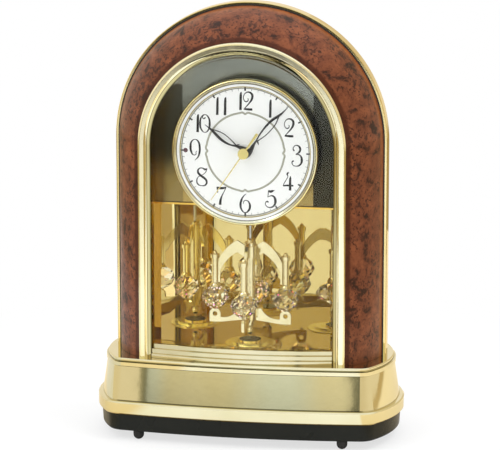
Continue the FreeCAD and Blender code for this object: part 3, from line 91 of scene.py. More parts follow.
def mixed(tree, share, first, second):
    """A colour between two colours."""
    return add(tree, "Mix", {0: share, 6: first, 7: second}, data_type="RGBA").outputs[2]


def graded(tree, value, low, high, start=0.0, end=1.0):
    """A value mapped smoothly from one range to another, by default to a share."""
    item = add(tree, "MapRange", {"Value": value, "From Min": low, "From Max": high,
                                  "To Min": start, "To Max": end},
               interpolation_type="SMOOTHSTEP")
    return item.outputs["Result"]


def calculated(tree, operation, first, second=0.0):
    """A plain sum on one or two values."""
    return add(tree, "Math", {0: first, 1: second}, operation=operation).outputs[0]


def both(tree, first, second):
    """Where two shares meet: their product."""
    return calculated(tree, "MULTIPLY", first, second)


def between(tree, value, rise, fall):
    """A share that is full between a soft rise and a soft fall of a value."""
    return both(tree, graded(tree, value, *rise), graded(tree, value, *fall))


def either(tree, share, first, second):
    """The first shader where the share is nothing, and the second where it is full."""
    return add(tree, "MixShader", {0: share, 1: first, 2: second}).outputs[0]


# Headings in the room are angles from straight ahead of the clock to its right, in radians, and
# levels are sines of the angle above the table. Each pair says where a tone begins and is full,
# and what has two sides has a pair for each.
LEFT_CARD, RIGHT_CARD = (-0.435, -0.455), (0.134, 0.140)
LEFT_GAP = ((-0.456, -0.450), (-0.424, -0.436))
RIGHT_GAP = ((0.108, 0.114), (0.140, 0.134))
WARM_LEFT, WARM_RIGHT = ((-0.42, -0.36), (-0.08, -0.24)), (-0.04, 0.06)
SHADE_LEVEL, WALL_LEVEL, CEILING_LEVEL = (-0.11, -0.16), (-0.02, 0.05), (0.5, 0.9)
WHITE = srgb(255, 255, 255)
world = bpy.data.worlds.new("studio")
bpy.context.scene.world = world
world.use_nodes = True
tree = world.node_tree
tree.nodes.clear()
ray = add(tree, "LightPath").outputs
axes = add(tree, "SeparateXYZ", {0: add(tree, "TexCoord").outputs["Generated"]}).outputs
level = axes["Z"]
heading = calculated(tree, "ARCTAN2", axes["X"], calculated(tree, "MULTIPLY", axes["Y"], -1.0))
left_card = graded(tree, heading, *LEFT_CARD)
right_card = graded(tree, heading, *RIGHT_CARD)
warm = calculated(tree, "MAXIMUM", between(tree, heading, *WARM_LEFT),
                  graded(tree, heading, *WARM_RIGHT))
wall = mixed(tree, warm, srgb(236, 242, 238), srgb(242, 232, 200))
wall = mixed(tree, left_card, wall, srgb(244, 234, 216))
wall = mixed(tree, right_card, wall, srgb(222, 205, 170))
wall = mixed(tree, between(tree, heading, *RIGHT_GAP), wall, srgb(104, 104, 84))
wall = mixed(tree, between(tree, heading, *LEFT_GAP), wall, srgb(136, 134, 106))
ground = mixed(tree, graded(tree, level, *SHADE_LEVEL), srgb(238, 223, 192), srgb(174, 150, 98))
ground = mixed(tree, calculated(tree, "MAXIMUM", left_card, right_card), srgb(70, 68, 64), ground)
tone = mixed(tree, graded(tree, level, *WALL_LEVEL), ground, wall)
tone = mixed(tree, graded(tree, level, *CEILING_LEVEL), tone, WHITE)
mirrored_room = add(tree, "Background", {"Color": tone, "Strength": 1.1}).outputs[0]
room = add(tree, "Background", {"Color": (0.95, 0.97, 1.0, 1.0), "Strength": 0.8}).outputs[0]
backdrop = add(tree, "Background", {"Color": WHITE, "Strength": 1.0}).outputs[0]
mirrored = calculated(tree, "MAXIMUM", ray["Is Glossy Ray"], ray["Is Transmission Ray"])
seen = either(tree, mirrored, room, mirrored_room)
add(tree, "OutputWorld", {"Surface": either(tree, ray["Is Camera Ray"], seen, backdrop)})


def take(piece):
    """Makes one object the only selected one and the active one."""
    bpy.ops.object.select_all(action="DESELECT")
    piece.select_set(True)
    bpy.context.view_layer.objects.active = piece


def start_material(name):
    """A new material with its tree and its main shader."""
    material = bpy.data.materials.new(name)
    material.use_nodes = True
    return material, material.node_tree, material.node_tree.nodes["Principled BSDF"]


def object_place(tree):
    """Where a point of the piece lies in the clock's own frame."""
    return add(tree, "TexCoord").outputs["Object"]


def object_axes(tree):
    """The same place as its separate X, Y and Z."""
    return add(tree, "SeparateXYZ", {0: object_place(tree)}).outputs


def noise(tree, place, scale, detail=2.0, roughness=0.5, distortion=0.0):
    """The value of a soft noise over the piece."""
    item = add(tree, "TexNoise", {"Vector": place, "Scale": scale, "Detail": detail,
                                  "Roughness": roughness, "Distortion": distortion})
    return item.outputs["Fac"]


def relief(tree, height, strength, depth):
    """A normal that shows a fine pattern of heights."""
    return add(tree, "Bump", {"Height": height, "Strength": strength,
                              "Distance": depth}).outputs[0]


TABLE_SIZE = (1.1, 2.4, 1.0)
TABLE_MIDDLE = (0.0, -0.5, 0.0)
# Places on the sheet, in metres from the clock's middle. Each pair says where a tone begins and
# is full. The toned places show only where something mirrors them, and the far left is painted
# shade. To the camera the sheet fades to plain white over SHEET_AWAY.
SHEET_BEHIND, SHEET_LEFT, SHEET_RIGHT = (-0.32, -0.26), (-0.10, -0.12), (0.105, 0.12)
SHEET_BORDER, SHEET_SHADED_LEFT, SHEET_AWAY = (0.40, 0.46), (-0.18, -0.24), (0.14, 0.40)
bpy.ops.object.select_all(action="DESELECT")
bpy.ops.mesh.primitive_plane_add(size=1.0)
table = bpy.context.object
table.name = "table"
bpy.ops.object.mode_set(mode="EDIT")
bpy.ops.transform.resize(value=TABLE_SIZE)
bpy.ops.transform.translate(value=TABLE_MIDDLE)
bpy.ops.object.mode_set(mode="OBJECT")
table_sheet, tree, shader = start_material("table_sheet")
place = object_place(tree)
where = object_axes(tree)
ray = add(tree, "LightPath").outputs
paper = mixed(tree, noise(tree, place, 1.5), srgb(246, 246, 245), srgb(250, 250, 249))
behind = graded(tree, where["Y"], *SHEET_BEHIND)
sides = calculated(tree, "MAXIMUM", graded(tree, where["X"], *SHEET_LEFT),
                   graded(tree, where["X"], *SHEET_RIGHT))
borders = graded(tree, calculated(tree, "ABSOLUTE", where["X"]), *SHEET_BORDER)
# The third tone is painted shade on the sheet's far left, seen only in mirrors
for share, tone in ((both(tree, sides, behind), srgb(240, 222, 186)),
                    (both(tree, borders, behind), srgb(182, 156, 104)),
                    (graded(tree, where["X"], *SHEET_SHADED_LEFT), srgb(222, 218, 208))):
    paper = mixed(tree, both(tree, share, ray["Is Glossy Ray"]), paper, tone)
feed(tree, shader, {"Base Color": paper, "Roughness": 0.7, "Specular IOR Level": 0.2,
                    "Normal": relief(tree, noise(tree, place, 900.0), 0.1, 0.0002)})
away = add(tree, "VectorMath", {0: place}, operation="LENGTH").outputs["Value"]
cleared = both(tree, graded(tree, away, *SHEET_AWAY, 0.70, 1.0), ray["Is Camera Ray"])
white = add(tree, "Emission", {"Color": WHITE, "Strength": 1.0}).outputs[0]
feed(tree, tree.nodes["Material Output"],
     {"Surface": either(tree, cleared, shader.outputs[0], white)})
table.data.materials.append(table_sheet)

LAMP_AIM = Vector((0.0, 0.0, 0.15))


def studio_lamp(name, place, size, power):
    """A soft square lamp that looks at the clock, and that no metal mirrors."""
    lamp = bpy.data.objects.new(name, bpy.data.lights.new(name, "AREA"))
    bpy.context.collection.objects.link(lamp)
    lamp.data.shape = "SQUARE"
    lamp.data.size = size
    lamp.data.energy = power
    lamp.location = place
    lamp.rotation_euler = (LAMP_AIM - lamp.location).to_track_quat("-Z", "Y").to_euler()
    lamp.visible_glossy = False


studio_lamp("lamp_left", (-1.1, -1.0, 1.5), size=1.1, power=12.0)
studio_lamp("lamp_right", (1.0, -0.2, 1.8), size=0.9, power=12.0)
studio_lamp("lamp_top", (0.0, 0.3, 1.8), size=1.2, power=8.0)

# Rubber feet
# Four turned buttons of black rubber, pressed into the plinth's underside. Their faces are
# matt, with a little dust held in the grain.
BODY_OF = {node: body for body, nodes in frame["record"]["behaviour"]["bodies"].items()
           for node in nodes}


def lowest(node):
    """The lowest corner of a node's box."""
    return Vector(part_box(node)[0])


def highest(node):
    """The highest corner of a node's box."""
    return Vector(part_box(node)[1])


def middle(node):
    """The middle of a node's box."""
    return (lowest(node) + highest(node)) / 2


def start_group(name, inputs, outputs):
    """A shared effect's tree, with its given values and the node that takes its results."""
    tree = bpy.data.node_groups.new(name, "ShaderNodeTree")
    for label, kind in inputs.items():
        tree.interface.new_socket(name=label, in_out="INPUT", socket_type="NodeSocket" + kind)
    for label, kind in outputs.items():
        tree.interface.new_socket(name=label, in_out="OUTPUT", socket_type="NodeSocket" + kind)
    return tree, tree.nodes.new("NodeGroupInput").outputs, tree.nodes.new("NodeGroupOutput")


def dust_specks(tree, place, patch, scale, speck, thick):
    """Specks of dust that gather where a patch pattern is high."""
    away = add(tree, "TexVoronoi", {"Vector": place, "Scale": scale}).outputs["Distance"]
    return both(tree, graded(tree, away, *speck), graded(tree, patch, *thick))


# Moulded grain: fine pits, soft tone patches and settled dust on plain plastic and rubber
SURFACE = {"Colour": "Color", "Roughness": "Float", "Height": "Float"}
moulded_grain, given, result = start_group(
    "moulded_grain", {"Tone": "Color", "Dust Tone": "Color", "Grain": "Float",
                      "Roughness": "Float", "Dust": "Float"}, SURFACE)
tree = moulded_grain
place = object_place(tree)
pits = noise(tree, place, given["Grain"], 3.0, 0.6)
patch = noise(tree, place, 35.0, 3.0)
settled = dust_specks(tree, place, patch, scale=420.0, speck=(0.16, 0.05), thick=(0.45, 0.7))
dusty = both(tree, settled, given["Dust"])
tone = mixed(tree, graded(tree, patch, 0.3, 0.7, 0.0, 0.35), given["Tone"], given["Dust Tone"])
rough = calculated(tree, "ADD", given["Roughness"], graded(tree, patch, 0.3, 0.7, -0.05, 0.07))
feed(tree, result, {
    "Colour": mixed(tree, dusty, tone, given["Dust Tone"]),
    "Roughness": calculated(tree, "ADD", rough, calculated(tree, "MULTIPLY", dusty, 0.3)),
    "Height": calculated(tree, "ADD", pits, settled)})


def with_group(tree, shader, group, values, strength, depth):
    """Places a shared surface effect in a material and joins it to the main shader."""
    effect = add(tree, "Group", values, node_tree=group).outputs
    feed(tree, shader, {"Base Color": effect["Colour"], "Roughness": effect["Roughness"],
                        "Normal": relief(tree, effect["Height"], strength, depth)})


def moulded(name, tone, dust_tone, grain, roughness, dust=0.5, strength=0.25):
    """A material of plain moulded plastic or rubber."""
    material, tree, shader = start_material(name)
    with_group(tree, shader, moulded_grain,
               {"Tone": tone, "Dust Tone": dust_tone, "Grain": grain, "Roughness": roughness,
                "Dust": dust}, strength, 0.0003)
    return material


MERGE_GAP = 0.000004
FLAT_ANGLE = math.radians(0.2)


def finished(node, material, angle=30.0, edge=0.0):
    """A piece worked up from its CAD form: triangles joined, flats made whole, edges eased
    by a small round, and turned or bowed faces shaded smooth."""
    piece = bpy.data.objects.new(node + "_finished", frame["nodes"][node].data.copy())
    bpy.context.collection.objects.link(piece)
    take(piece)
    if piece.data.has_custom_normals:
        bpy.ops.mesh.customdata_custom_splitnormals_clear()
    bpy.ops.object.mode_set(mode="EDIT")
    bpy.ops.mesh.select_all(action="SELECT")
    bpy.ops.mesh.remove_doubles(threshold=MERGE_GAP)
    bpy.ops.mesh.dissolve_limited(angle_limit=FLAT_ANGLE)
    bpy.ops.object.mode_set(mode="OBJECT")
    if edge:
        bevel = piece.modifiers.new("eased_edges", "BEVEL")
        bevel.width = edge
        bevel.segments = 2
        bevel.limit_method = "ANGLE"
        bevel.angle_limit = math.radians(angle)
        bpy.ops.object.modifier_apply(modifier=bevel.name)
    bpy.ops.object.shade_smooth_by_angle(angle=math.radians(angle))
    even = piece.modifiers.new("even_flats", "WEIGHTED_NORMAL")
    even.keep_sharp = True
    bpy.ops.object.modifier_apply(modifier=even.name)
    piece.data.materials.clear()
    piece.data.materials.append(material)
    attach(piece, BODY_OF[node])
    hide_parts(node)


foot_rubber = moulded("foot_rubber", srgb(26, 26, 25), srgb(60, 58, 55),
                      grain=700.0, roughness=0.75)
for corner in ("front_left", "front_right", "rear_left", "rear_right"):
    node = "foot_" + corner
    low, high, centre = lowest(node), highest(node), middle(node)
    radius = (high.x - low.x) / 2
    bpy.ops.object.select_all(action="DESELECT")
    bpy.ops.mesh.primitive_uv_sphere_add(segments=32, ring_count=16, radius=radius)
    foot = bpy.context.object
    foot.name = "rubber_" + node
    bpy.ops.object.mode_set(mode="EDIT")
    bpy.ops.mesh.bisect(plane_co=(0.0, 0.0, 0.0), plane_no=(0.0, 0.0, 1.0), clear_outer=True)
    bpy.ops.mesh.select_all(action="DESELECT")
    bpy.ops.mesh.select_non_manifold(extend=False)
    bpy.ops.mesh.extrude_region_move(
        TRANSFORM_OT_translate={"value": (0.0, 0.0, high.z - low.z - radius)})
    bpy.ops.mesh.edge_face_add()
    bpy.ops.mesh.select_all(action="SELECT")
    bpy.ops.transform.translate(value=(centre.x, centre.y, low.z + radius))
    bpy.ops.mesh.normals_make_consistent(inside=False)
    bpy.ops.object.mode_set(mode="OBJECT")
    bpy.ops.object.shade_smooth_by_angle(angle=math.radians(50))
    foot.data.materials.append(foot_rubber)
    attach(foot, BODY_OF[node])
    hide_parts(node)

# Plinth
# A shallow black tray under the base, moulded in gloss plastic. It shows as a dark band that
# the pale table mirrors in.
black_gloss, tree, shader = start_material("black_gloss")
with_group(tree, shader, moulded_grain,
           {"Tone": srgb(26, 27, 22), "Dust Tone": srgb(42, 42, 36), "Grain": 260.0,
            "Roughness": 0.3, "Dust": 0.4}, 0.03, 0.0002)
feed(tree, shader, {"Specular IOR Level": 0.16})
finished("plinth", black_gloss, edge=0.0003)

# Base
# One hollow moulding with a bowed front, plated bright gold. Its flange, leaning panel, bead
# and deck run all the way round, and thin lines of painted shade part them in the creases,
# darkest along the front.
plating, given, result = start_group(
    "plating", {"Tone": "Color", "Pale Tone": "Color", "Patch": "Float",
                "Roughness": "Float", "Smears": "Float"}, SURFACE)
tree = plating
place = object_place(tree)
patch = noise(tree, place, given["Patch"], 3.0, distortion=0.6)
stretched = add(tree, "Mapping", {"Vector": place, "Scale": (60.0, 60.0, 14.0)}).outputs[0]
smear = graded(tree, noise(tree, stretched, 1.0, 5.0, 0.65), 0.45, 0.8)
dust = dust_specks(tree, place, patch, scale=520.0, speck=(0.10, 0.03), thick=(0.5, 0.75))
rough = calculated(tree, "ADD", given["Roughness"], both(tree, smear, given["Smears"]))
feed(tree, result, {
    "Colour": mixed(tree, graded(tree, patch, 0.25, 0.75), given["Tone"], given["Pale Tone"]),
    "Roughness": calculated(tree, "ADD", rough, calculated(tree, "MULTIPLY", dust, 0.25)),
    "Height": calculated(tree, "ADD", noise(tree, place, 220.0), dust)})


def plated(name, tone, pale_tone, patch, roughness, smears, sockets=None, strength=0.012):
    """A material of bright plating over a moulded or turned form."""
    material, tree, shader = start_material(name)
    with_group(tree, shader, plating,
               {"Tone": tone, "Pale Tone": pale_tone, "Patch": patch, "Roughness": roughness,
                "Smears": smears}, strength, 0.0004)
    feed(tree, shader, {"Metallic": 1.0, **(sockets or {})})
    return material


def tone_so_far(material):
    """A made material's tree, its main shader and the colour that the shader takes."""
    tree = material.node_tree
    shader = tree.nodes["Principled BSDF"]
    return tree, shader, shader.inputs["Base Color"].links[0].from_socket


def thin_line(tree, value, place, half=0.0001, soft=0.0003):
    """A thin line where a value passes a place, with soft sides."""
    off = calculated(tree, "ABSOLUTE", calculated(tree, "SUBTRACT", value, place))
    return graded(tree, off, half + soft, half)


def dressed(node, material):
    """A CAD piece that needs no more shape: it gets its material and stays."""
    piece = frame["nodes"][node]
    piece.data.materials.clear()
    piece.data.materials.append(material)


FLANGE_FOOT, PANEL_FOOT, PANEL_HEAD, BEAD_TOP = 0.0197, 0.0286, 0.0528, 0.0560
PANEL_END = 0.0865
base_gold = plated("base_gold", srgb(219, 211, 170), srgb(230, 224, 190),
                   patch=12.0, roughness=0.05, smears=0.05)
tree, shader, tone = tone_so_far(base_gold)
where = object_axes(tree)
height = where["Z"]
# Thin dark lines of painted shade lie in the creases, darkest along the front
crease_shade = 0.0
for line in (PANEL_FOOT, PANEL_HEAD, BEAD_TOP):
    crease_shade = calculated(tree, "MAXIMUM", crease_shade, thin_line(tree, height, line))
on_front = graded(tree, calculated(tree, "ABSOLUTE", where["X"]), PANEL_END + 0.0025, PANEL_END,
                  0.3, 1.0)
bead_step_shade = between(tree, height, (BEAD_TOP, BEAD_TOP + 0.0002),
                    (BEAD_TOP + 0.0010, BEAD_TOP + 0.0007))
# Painted shade: a deeper gold below the flange's foot and a dark band just above the bead
tone = mixed(tree, graded(tree, height, FLANGE_FOOT + 0.0005, FLANGE_FOOT), tone,
             srgb(206, 168, 84))
tone = mixed(tree, bead_step_shade, tone, srgb(150, 144, 104))
tone = mixed(tree, both(tree, crease_shade, on_front), tone, srgb(96, 90, 60))
feed(tree, shader, {"Base Color": tone})
dressed("base_shroud", base_gold)

# Front trim
# The arched frame round the window, moulded and plated in a pale satin gold, with a flat
# face, a rounded outer edge and a hollow that leads in to the window.
ARCH_HEIGHT = highest("front_trim").z - highest("front_trim").x
ARCH_LEGS, FULL_CIRCLE = 0.0, -1.0

# Centre reach: how far a point lies from a centre line that runs front to back
centre_reach, given, result = start_group(
    "centre_reach", {"Height": "Float", "Lowest": "Float"}, {"Reach": "Float"})
tree = centre_reach
where = object_axes(tree)
over = calculated(tree, "SUBTRACT", where["Z"], given["Height"])
over = calculated(tree, "MAXIMUM", over, given["Lowest"])
flat = add(tree, "CombineXYZ", {"X": where["X"], "Z": over}).outputs[0]
feed(tree, result, {"Reach": add(tree, "VectorMath", {0: flat},
                                 operation="LENGTH").outputs["Value"]})


def reach_from(tree, height, lowest):
    """How far a point of the front lies from the arch's or the dial's centre."""
    return add(tree, "Group", {"Height": height, "Lowest": lowest},
               node_tree=centre_reach).outputs["Reach"]


HOLLOW_EDGE, LIP_EDGE = 0.0672, 0.0655
trim_gold = plated("trim_gold", srgb(242, 233, 188), srgb(250, 244, 212),
                   patch=9.0, roughness=0.11, smears=0.05)
tree, shader, tone = tone_so_far(trim_gold)
reach = reach_from(tree, ARCH_HEIGHT, ARCH_LEGS)
# Painted shade: the hollow is a darker gold, with a dark line at its edge and a dark lip by the
# window
tone = mixed(tree, graded(tree, reach, HOLLOW_EDGE + 0.0004, HOLLOW_EDGE - 0.0004), tone,
             srgb(196, 186, 138))
tone = mixed(tree, thin_line(tree, reach, HOLLOW_EDGE), tone, srgb(126, 112, 66))
tone = mixed(tree, graded(tree, reach, LIP_EDGE, LIP_EDGE - 0.0003), tone, srgb(122, 112, 74))
feed(tree, shader, {"Base Color": tone})
dressed("front_trim", trim_gold)

# Burl band
# A wide arched band that curves back from the trim to the case, covered with a burl figure
# in dark red brown and sealed under clear gloss lacquer.
BURL_INNER, BURL_OUTER = 0.0757, 0.0940
FIGURE_BEND = 0.016
burl, tree, shader = start_material("burl_lacquer")
place = object_place(tree)
drift = add(tree, "TexNoise", {"Vector": place, "Scale": 70.0, "Detail": 4.0}).outputs["Color"]
bent = add(tree, "VectorMath", {0: drift, 1: (0.5, 0.5, 0.5)}, operation="SUBTRACT").outputs[0]
bent = add(tree, "VectorMath", {0: bent, "Scale": FIGURE_BEND}, operation="SCALE").outputs[0]
grown = add(tree, "VectorMath", {0: place, 1: bent}, operation="ADD").outputs[0]
clouds = noise(tree, grown, 95.0, 7.0, 0.66)
eyes = add(tree, "TexVoronoi", {"Vector": grown, "Scale": 210.0}).outputs["Distance"]
knots = noise(tree, place, 48.0)
freckles = noise(tree, place, 620.0, 3.0)
ground = mixed(tree, graded(tree, clouds, 0.36, 0.48), srgb(40, 25, 21), srgb(108, 58, 36))
ground = mixed(tree, graded(tree, clouds, 0.48, 0.64, 0.0, 0.8), ground, srgb(136, 76, 46))
spotted = both(tree, graded(tree, eyes, 0.50, 0.20), graded(tree, knots, 0.50, 0.60, 0.0, 0.8))
ground = mixed(tree, spotted, ground, srgb(40, 26, 24))
flecked = both(tree, graded(tree, freckles, 0.54, 0.63),
               graded(tree, knots, 0.38, 0.56, 0.3, 0.9))
ground = mixed(tree, flecked, ground, srgb(38, 22, 18))
# Painted shade darkens the band next to the trim, and a painted sheen lightens its outer edge
reach = reach_from(tree, ARCH_HEIGHT, ARCH_LEGS)
ground = mixed(tree, graded(tree, reach, BURL_INNER + 0.0018, BURL_INNER, 0.0, 0.8), ground,
               srgb(52, 18, 8))
ground = mixed(tree, graded(tree, reach, BURL_OUTER - 0.0012, BURL_OUTER, 0.0, 0.6), ground,
               srgb(150, 82, 40))
feed(tree, shader, {
    "Base Color": ground, "Roughness": graded(tree, clouds, 0.3, 0.7, 0.55, 0.42),
    "Normal": relief(tree, noise(tree, place, 25.0), 0.03, 0.001), "Specular IOR Level": 0.34,
    "Specular Tint": srgb(255, 184, 150), "Coat Weight": 0.2, "Coat Roughness": 0.03})
finished("burl_arch", burl, edge=0.0002)

# Rear rim and rear case
# A bright gold band closes the burl at the back. Behind it the case is a deep black
# moulding with a fine grain and large rounded corners.
rim_gold = plated("rim_gold", srgb(226, 204, 140), srgb(240, 224, 170),
                  patch=14.0, roughness=0.08, smears=0.05)
finished("rear_rim", rim_gold)
case_black = moulded("case_black", srgb(34, 34, 35), srgb(62, 61, 59),
                     grain=900.0, roughness=0.42, dust=0.5, strength=0.4)
finished("rear_case", case_black)

# Window
# A clear moulding with a bowed front, set in the trim's rebate. Light passes it without a
# shadow, and its face carries a few faint wiping marks.
window_clear, tree, shader = start_material("window_clear")
wiped = add(tree, "Mapping", {"Vector": object_place(tree), "Scale": (30.0, 30.0, 9.0),
                              "Rotation": (0.0, 0.6, 0.0)}).outputs[0]
marks = noise(tree, wiped, 1.0, 5.0)
feed(tree, shader, {
    "Base Color": mixed(tree, marks, srgb(250, 252, 250), WHITE),
    "Roughness": graded(tree, marks, 0.5, 0.8, 0.0, 0.03),
    "Normal": relief(tree, marks, 0.01, 0.0002), "Transmission Weight": 1.0, "IOR": 1.2})
ray = add(tree, "LightPath").outputs
clear = add(tree, "BsdfTransparent", {"Color": (0.97, 0.97, 0.97, 1.0)}).outputs[0]
passing = calculated(tree, "MAXIMUM", ray["Is Shadow Ray"], ray["Is Diffuse Ray"])
feed(tree, tree.nodes["Material Output"],
     {"Surface": either(tree, passing, shader.outputs[0], clear)})
finished("window_glass", window_clear)

# Sill
# Three bowed steps under the window, moulded as one bar and plated, so that they mirror the
# room in long streaks.
sill_gold = plated("sill_gold", srgb(202, 194, 154), srgb(226, 218, 188),
                   patch=20.0, roughness=0.06, smears=0.08)
finished("window_sill", sill_gold, edge=0.0004)

# Mirror chamber
# Two gold-tinted mirrors meet behind the pendulum over a mirror floor, so that each crystal
# shows several times. An arched jamb, a ceiling and a backboard close the chamber.
# Past LAST_BOUNCE mirrors a surface glows with a painted pale tone, paler to the right
LAST_BOUNCE, GLOW_TURN = 3.5, (-0.035, 0.01)


def glows_after_mirrors(material, tone=srgb(226, 214, 180)):
    """Makes what is seen only after several mirrors glow with a painted pale tone, paler to the
    right, in place of the light that would be lost there."""
    tree = material.node_tree
    bounces = add(tree, "LightPath").outputs["Glossy Depth"]
    to_right = graded(tree, object_axes(tree)["X"], *GLOW_TURN)
    deep = mixed(tree, to_right, srgb(164, 138, 78), tone)
    glow = add(tree, "Emission", {"Color": deep, "Strength": 1.0}).outputs[0]
    ended = calculated(tree, "GREATER_THAN", bounces, LAST_BOUNCE)
    feed(tree, tree.nodes["Material Output"],
         {"Surface": either(tree, ended, tree.nodes["Principled BSDF"].outputs[0], glow)})
    return material


def mirror(name, tone, second_tone, roughness):
    """A material of tinted mirror with a few faint marks."""
    return glows_after_mirrors(plated(name, tone, second_tone, patch=8.0, roughness=roughness,
                            smears=0.02, strength=0.004))


dressed("mirror_left", mirror("gold_mirror", srgb(250, 238, 190), srgb(255, 246, 204), 0.012))
dressed("mirror_right", mirror("shaded_mirror", srgb(204, 190, 150), srgb(214, 202, 164), 0.012))
dressed("chamber_floor", mirror("floor_mirror", srgb(206, 188, 138), srgb(216, 200, 152), 0.02))
ceiling_gold = plated("ceiling_gold", srgb(236, 206, 118), srgb(246, 222, 140),
                      patch=20.0, roughness=0.1, smears=0.05)
dressed("chamber_ceiling", glows_after_mirrors(ceiling_gold))

# The backboard's wings beside the dial, and the heights where its painted reflection changes tone
WING_SIDE, WING_TOP, WING_TURN = 0.0464, 0.2515, (0.182, 0.212)
REFLECTION_FOOT, REFLECTION_TURN, REFLECTION_HEAD = 0.180, 0.205, 0.275
CEILING_TOP = highest("chamber_ceiling").z
smoked_mirror, tree, shader = start_material("smoked_mirror")
place = object_place(tree)
where = object_axes(tree)
height = where["Z"]
haze = noise(tree, place, 14.0, 3.0)
# Painted reflection: gold at the foot, dark above it and grey towards the head
film_and_reflection = mixed(tree, graded(tree, height, REFLECTION_TURN, REFLECTION_HEAD), srgb(92, 92, 78), srgb(190, 196, 190))
film_and_reflection = mixed(tree, graded(tree, height, REFLECTION_TURN, REFLECTION_FOOT), film_and_reflection, srgb(190, 164, 98))
# Painted reflection of the dial's dark back: the wings beside the dial are dark, most at the right
# low down
wings = both(tree, graded(tree, calculated(tree, "ABSOLUTE", where["X"]), WING_SIDE,
                          WING_SIDE + 0.0004),
             graded(tree, height, WING_TOP, WING_TOP - 0.0020))
low_share = graded(tree, where["X"], -0.01, 0.01, 0.4, 0.95)
wing_share = add(tree, "Mix", {0: graded(tree, height, *WING_TURN), 2: low_share,
                               3: 0.8}).outputs[0]
film_and_reflection = mixed(tree, both(tree, wings, wing_share), film_and_reflection, srgb(40, 40, 32))
film_and_reflection = mixed(tree, graded(tree, haze, 0.3, 0.7, 0.0, 0.25), film_and_reflection, srgb(70, 66, 50))
film_and_reflection = mixed(tree, graded(tree, height, CEILING_TOP + 0.0003, CEILING_TOP - 0.0001), film_and_reflection,
             srgb(60, 48, 26))
film_and_reflection = mixed(tree, graded(tree, height, CEILING_TOP - 0.0005, CEILING_TOP - 0.0009), film_and_reflection,
             srgb(240, 196, 92))
feed(tree, shader, {"Base Color": film_and_reflection, "Roughness": graded(tree, haze, 0.3, 0.7, 0.2, 0.26),
                    "Normal": relief(tree, haze, 0.01, 0.0005), "Metallic": 1.0})
dressed("dial_backboard", glows_after_mirrors(smoked_mirror))
jamb_gold = plated("jamb_gold", srgb(176, 146, 84), srgb(192, 162, 98),
                   patch=10.0, roughness=0.02, smears=0.04,
                   sockets={"Specular Tint": srgb(196, 166, 112)})
finished("jamb", glows_after_mirrors(jamb_gold, srgb(150, 124, 66)))

# Dial
# A white lacquered plate in a gold bezel, on a spun cup that holds it off the backboard. A
# white ring with a bright step lies between the plate and the bezel.
DIAL_FACE, DIAL_HEIGHT = lowest("dial_plate").y, middle("dial_plate").z
SHADED_MIDDLE = (0.0, 0.031)
dial_white, tree, shader = start_material("dial_white")
place = object_place(tree)
soft = noise(tree, place, 60.0, 3.0)
reach = reach_from(tree, DIAL_HEIGHT, FULL_CIRCLE)
field = mixed(tree, graded(tree, reach, *SHADED_MIDDLE, 0.63, 1.0),
              srgb(244, 244, 238), srgb(255, 255, 252))
field = mixed(tree, graded(tree, soft, 0.3, 0.7, 0.0, 0.25), field, srgb(246, 246, 240))
feed(tree, shader, {"Base Color": field, "Roughness": graded(tree, soft, 0.3, 0.7, 0.34, 0.42),
                    "Normal": relief(tree, noise(tree, place, 1500.0), 0.05, 0.0001)})
dressed("dial_plate", dial_white)
cup_black = moulded("cup_black", srgb(120, 120, 108), srgb(130, 128, 116),
                    grain=400.0, roughness=0.45, dust=0.2, strength=0.1)
finished("dial_cup", cup_black)

BEZEL_STEP = 0.0505
bezel_gold = plated("bezel_gold", srgb(250, 242, 182), srgb(255, 250, 206),
                    patch=18.0, roughness=0.2, smears=0.04)
bezel_banded = bezel_gold.copy()
bezel_banded.name = "bezel_banded"
tree, shader, tone = tone_so_far(bezel_banded)
reach = reach_from(tree, DIAL_HEIGHT, FULL_CIRCLE)
tone = mixed(tree, graded(tree, reach, BEZEL_STEP + 0.0002, BEZEL_STEP), tone,
             srgb(236, 234, 212))
tone = mixed(tree, thin_line(tree, reach, BEZEL_STEP, soft=0.0002), tone, srgb(140, 126, 70))
feed(tree, shader, {"Base Color": tone})
finished("dial_bezel", bezel_banded)

RING_INNER, RING_OUTER, RING_SOFT = 0.04670, 0.04825, 0.00015
ring_white, tree, shader = start_material("ring_white")
reach = reach_from(tree, DIAL_HEIGHT, FULL_CIRCLE)
cloud = noise(tree, object_place(tree), 90.0, 3.0)
enamel_and_shadow = mixed(tree, graded(tree, cloud, 0.3, 0.7), srgb(246, 246, 242), srgb(252, 252, 250))
enamel_and_shadow = mixed(tree, graded(tree, reach, RING_INNER, RING_INNER - RING_SOFT), enamel_and_shadow,
               srgb(176, 160, 104))
# Beyond its outer edge the ring is painted grey, a painted shadow against the bezel
enamel_and_shadow = mixed(tree, graded(tree, reach, RING_OUTER, RING_OUTER + RING_SOFT), enamel_and_shadow,
               srgb(112, 108, 92))
feed(tree, shader, {"Base Color": enamel_and_shadow, "Roughness": graded(tree, cloud, 0.3, 0.7, 0.2, 0.28),
                    "Normal": relief(tree, cloud, 0.02, 0.0002)})
finished("track_ring", ring_white)
sensor_dark = moulded("sensor_dark", srgb(92, 60, 70), srgb(140, 110, 116),
                      grain=300.0, roughness=0.2, dust=0.2, strength=0.05)
finished("light_sensor", sensor_dark)

# Printing on the dial
# Numbers, the minute track and a thin inner ring are printed on the plate in dark and grey
# ink. Each stroke swells and thins as a pen draws it.
INK_DEPTH, FINE_INK_DEPTH = 0.00004, 0.00002


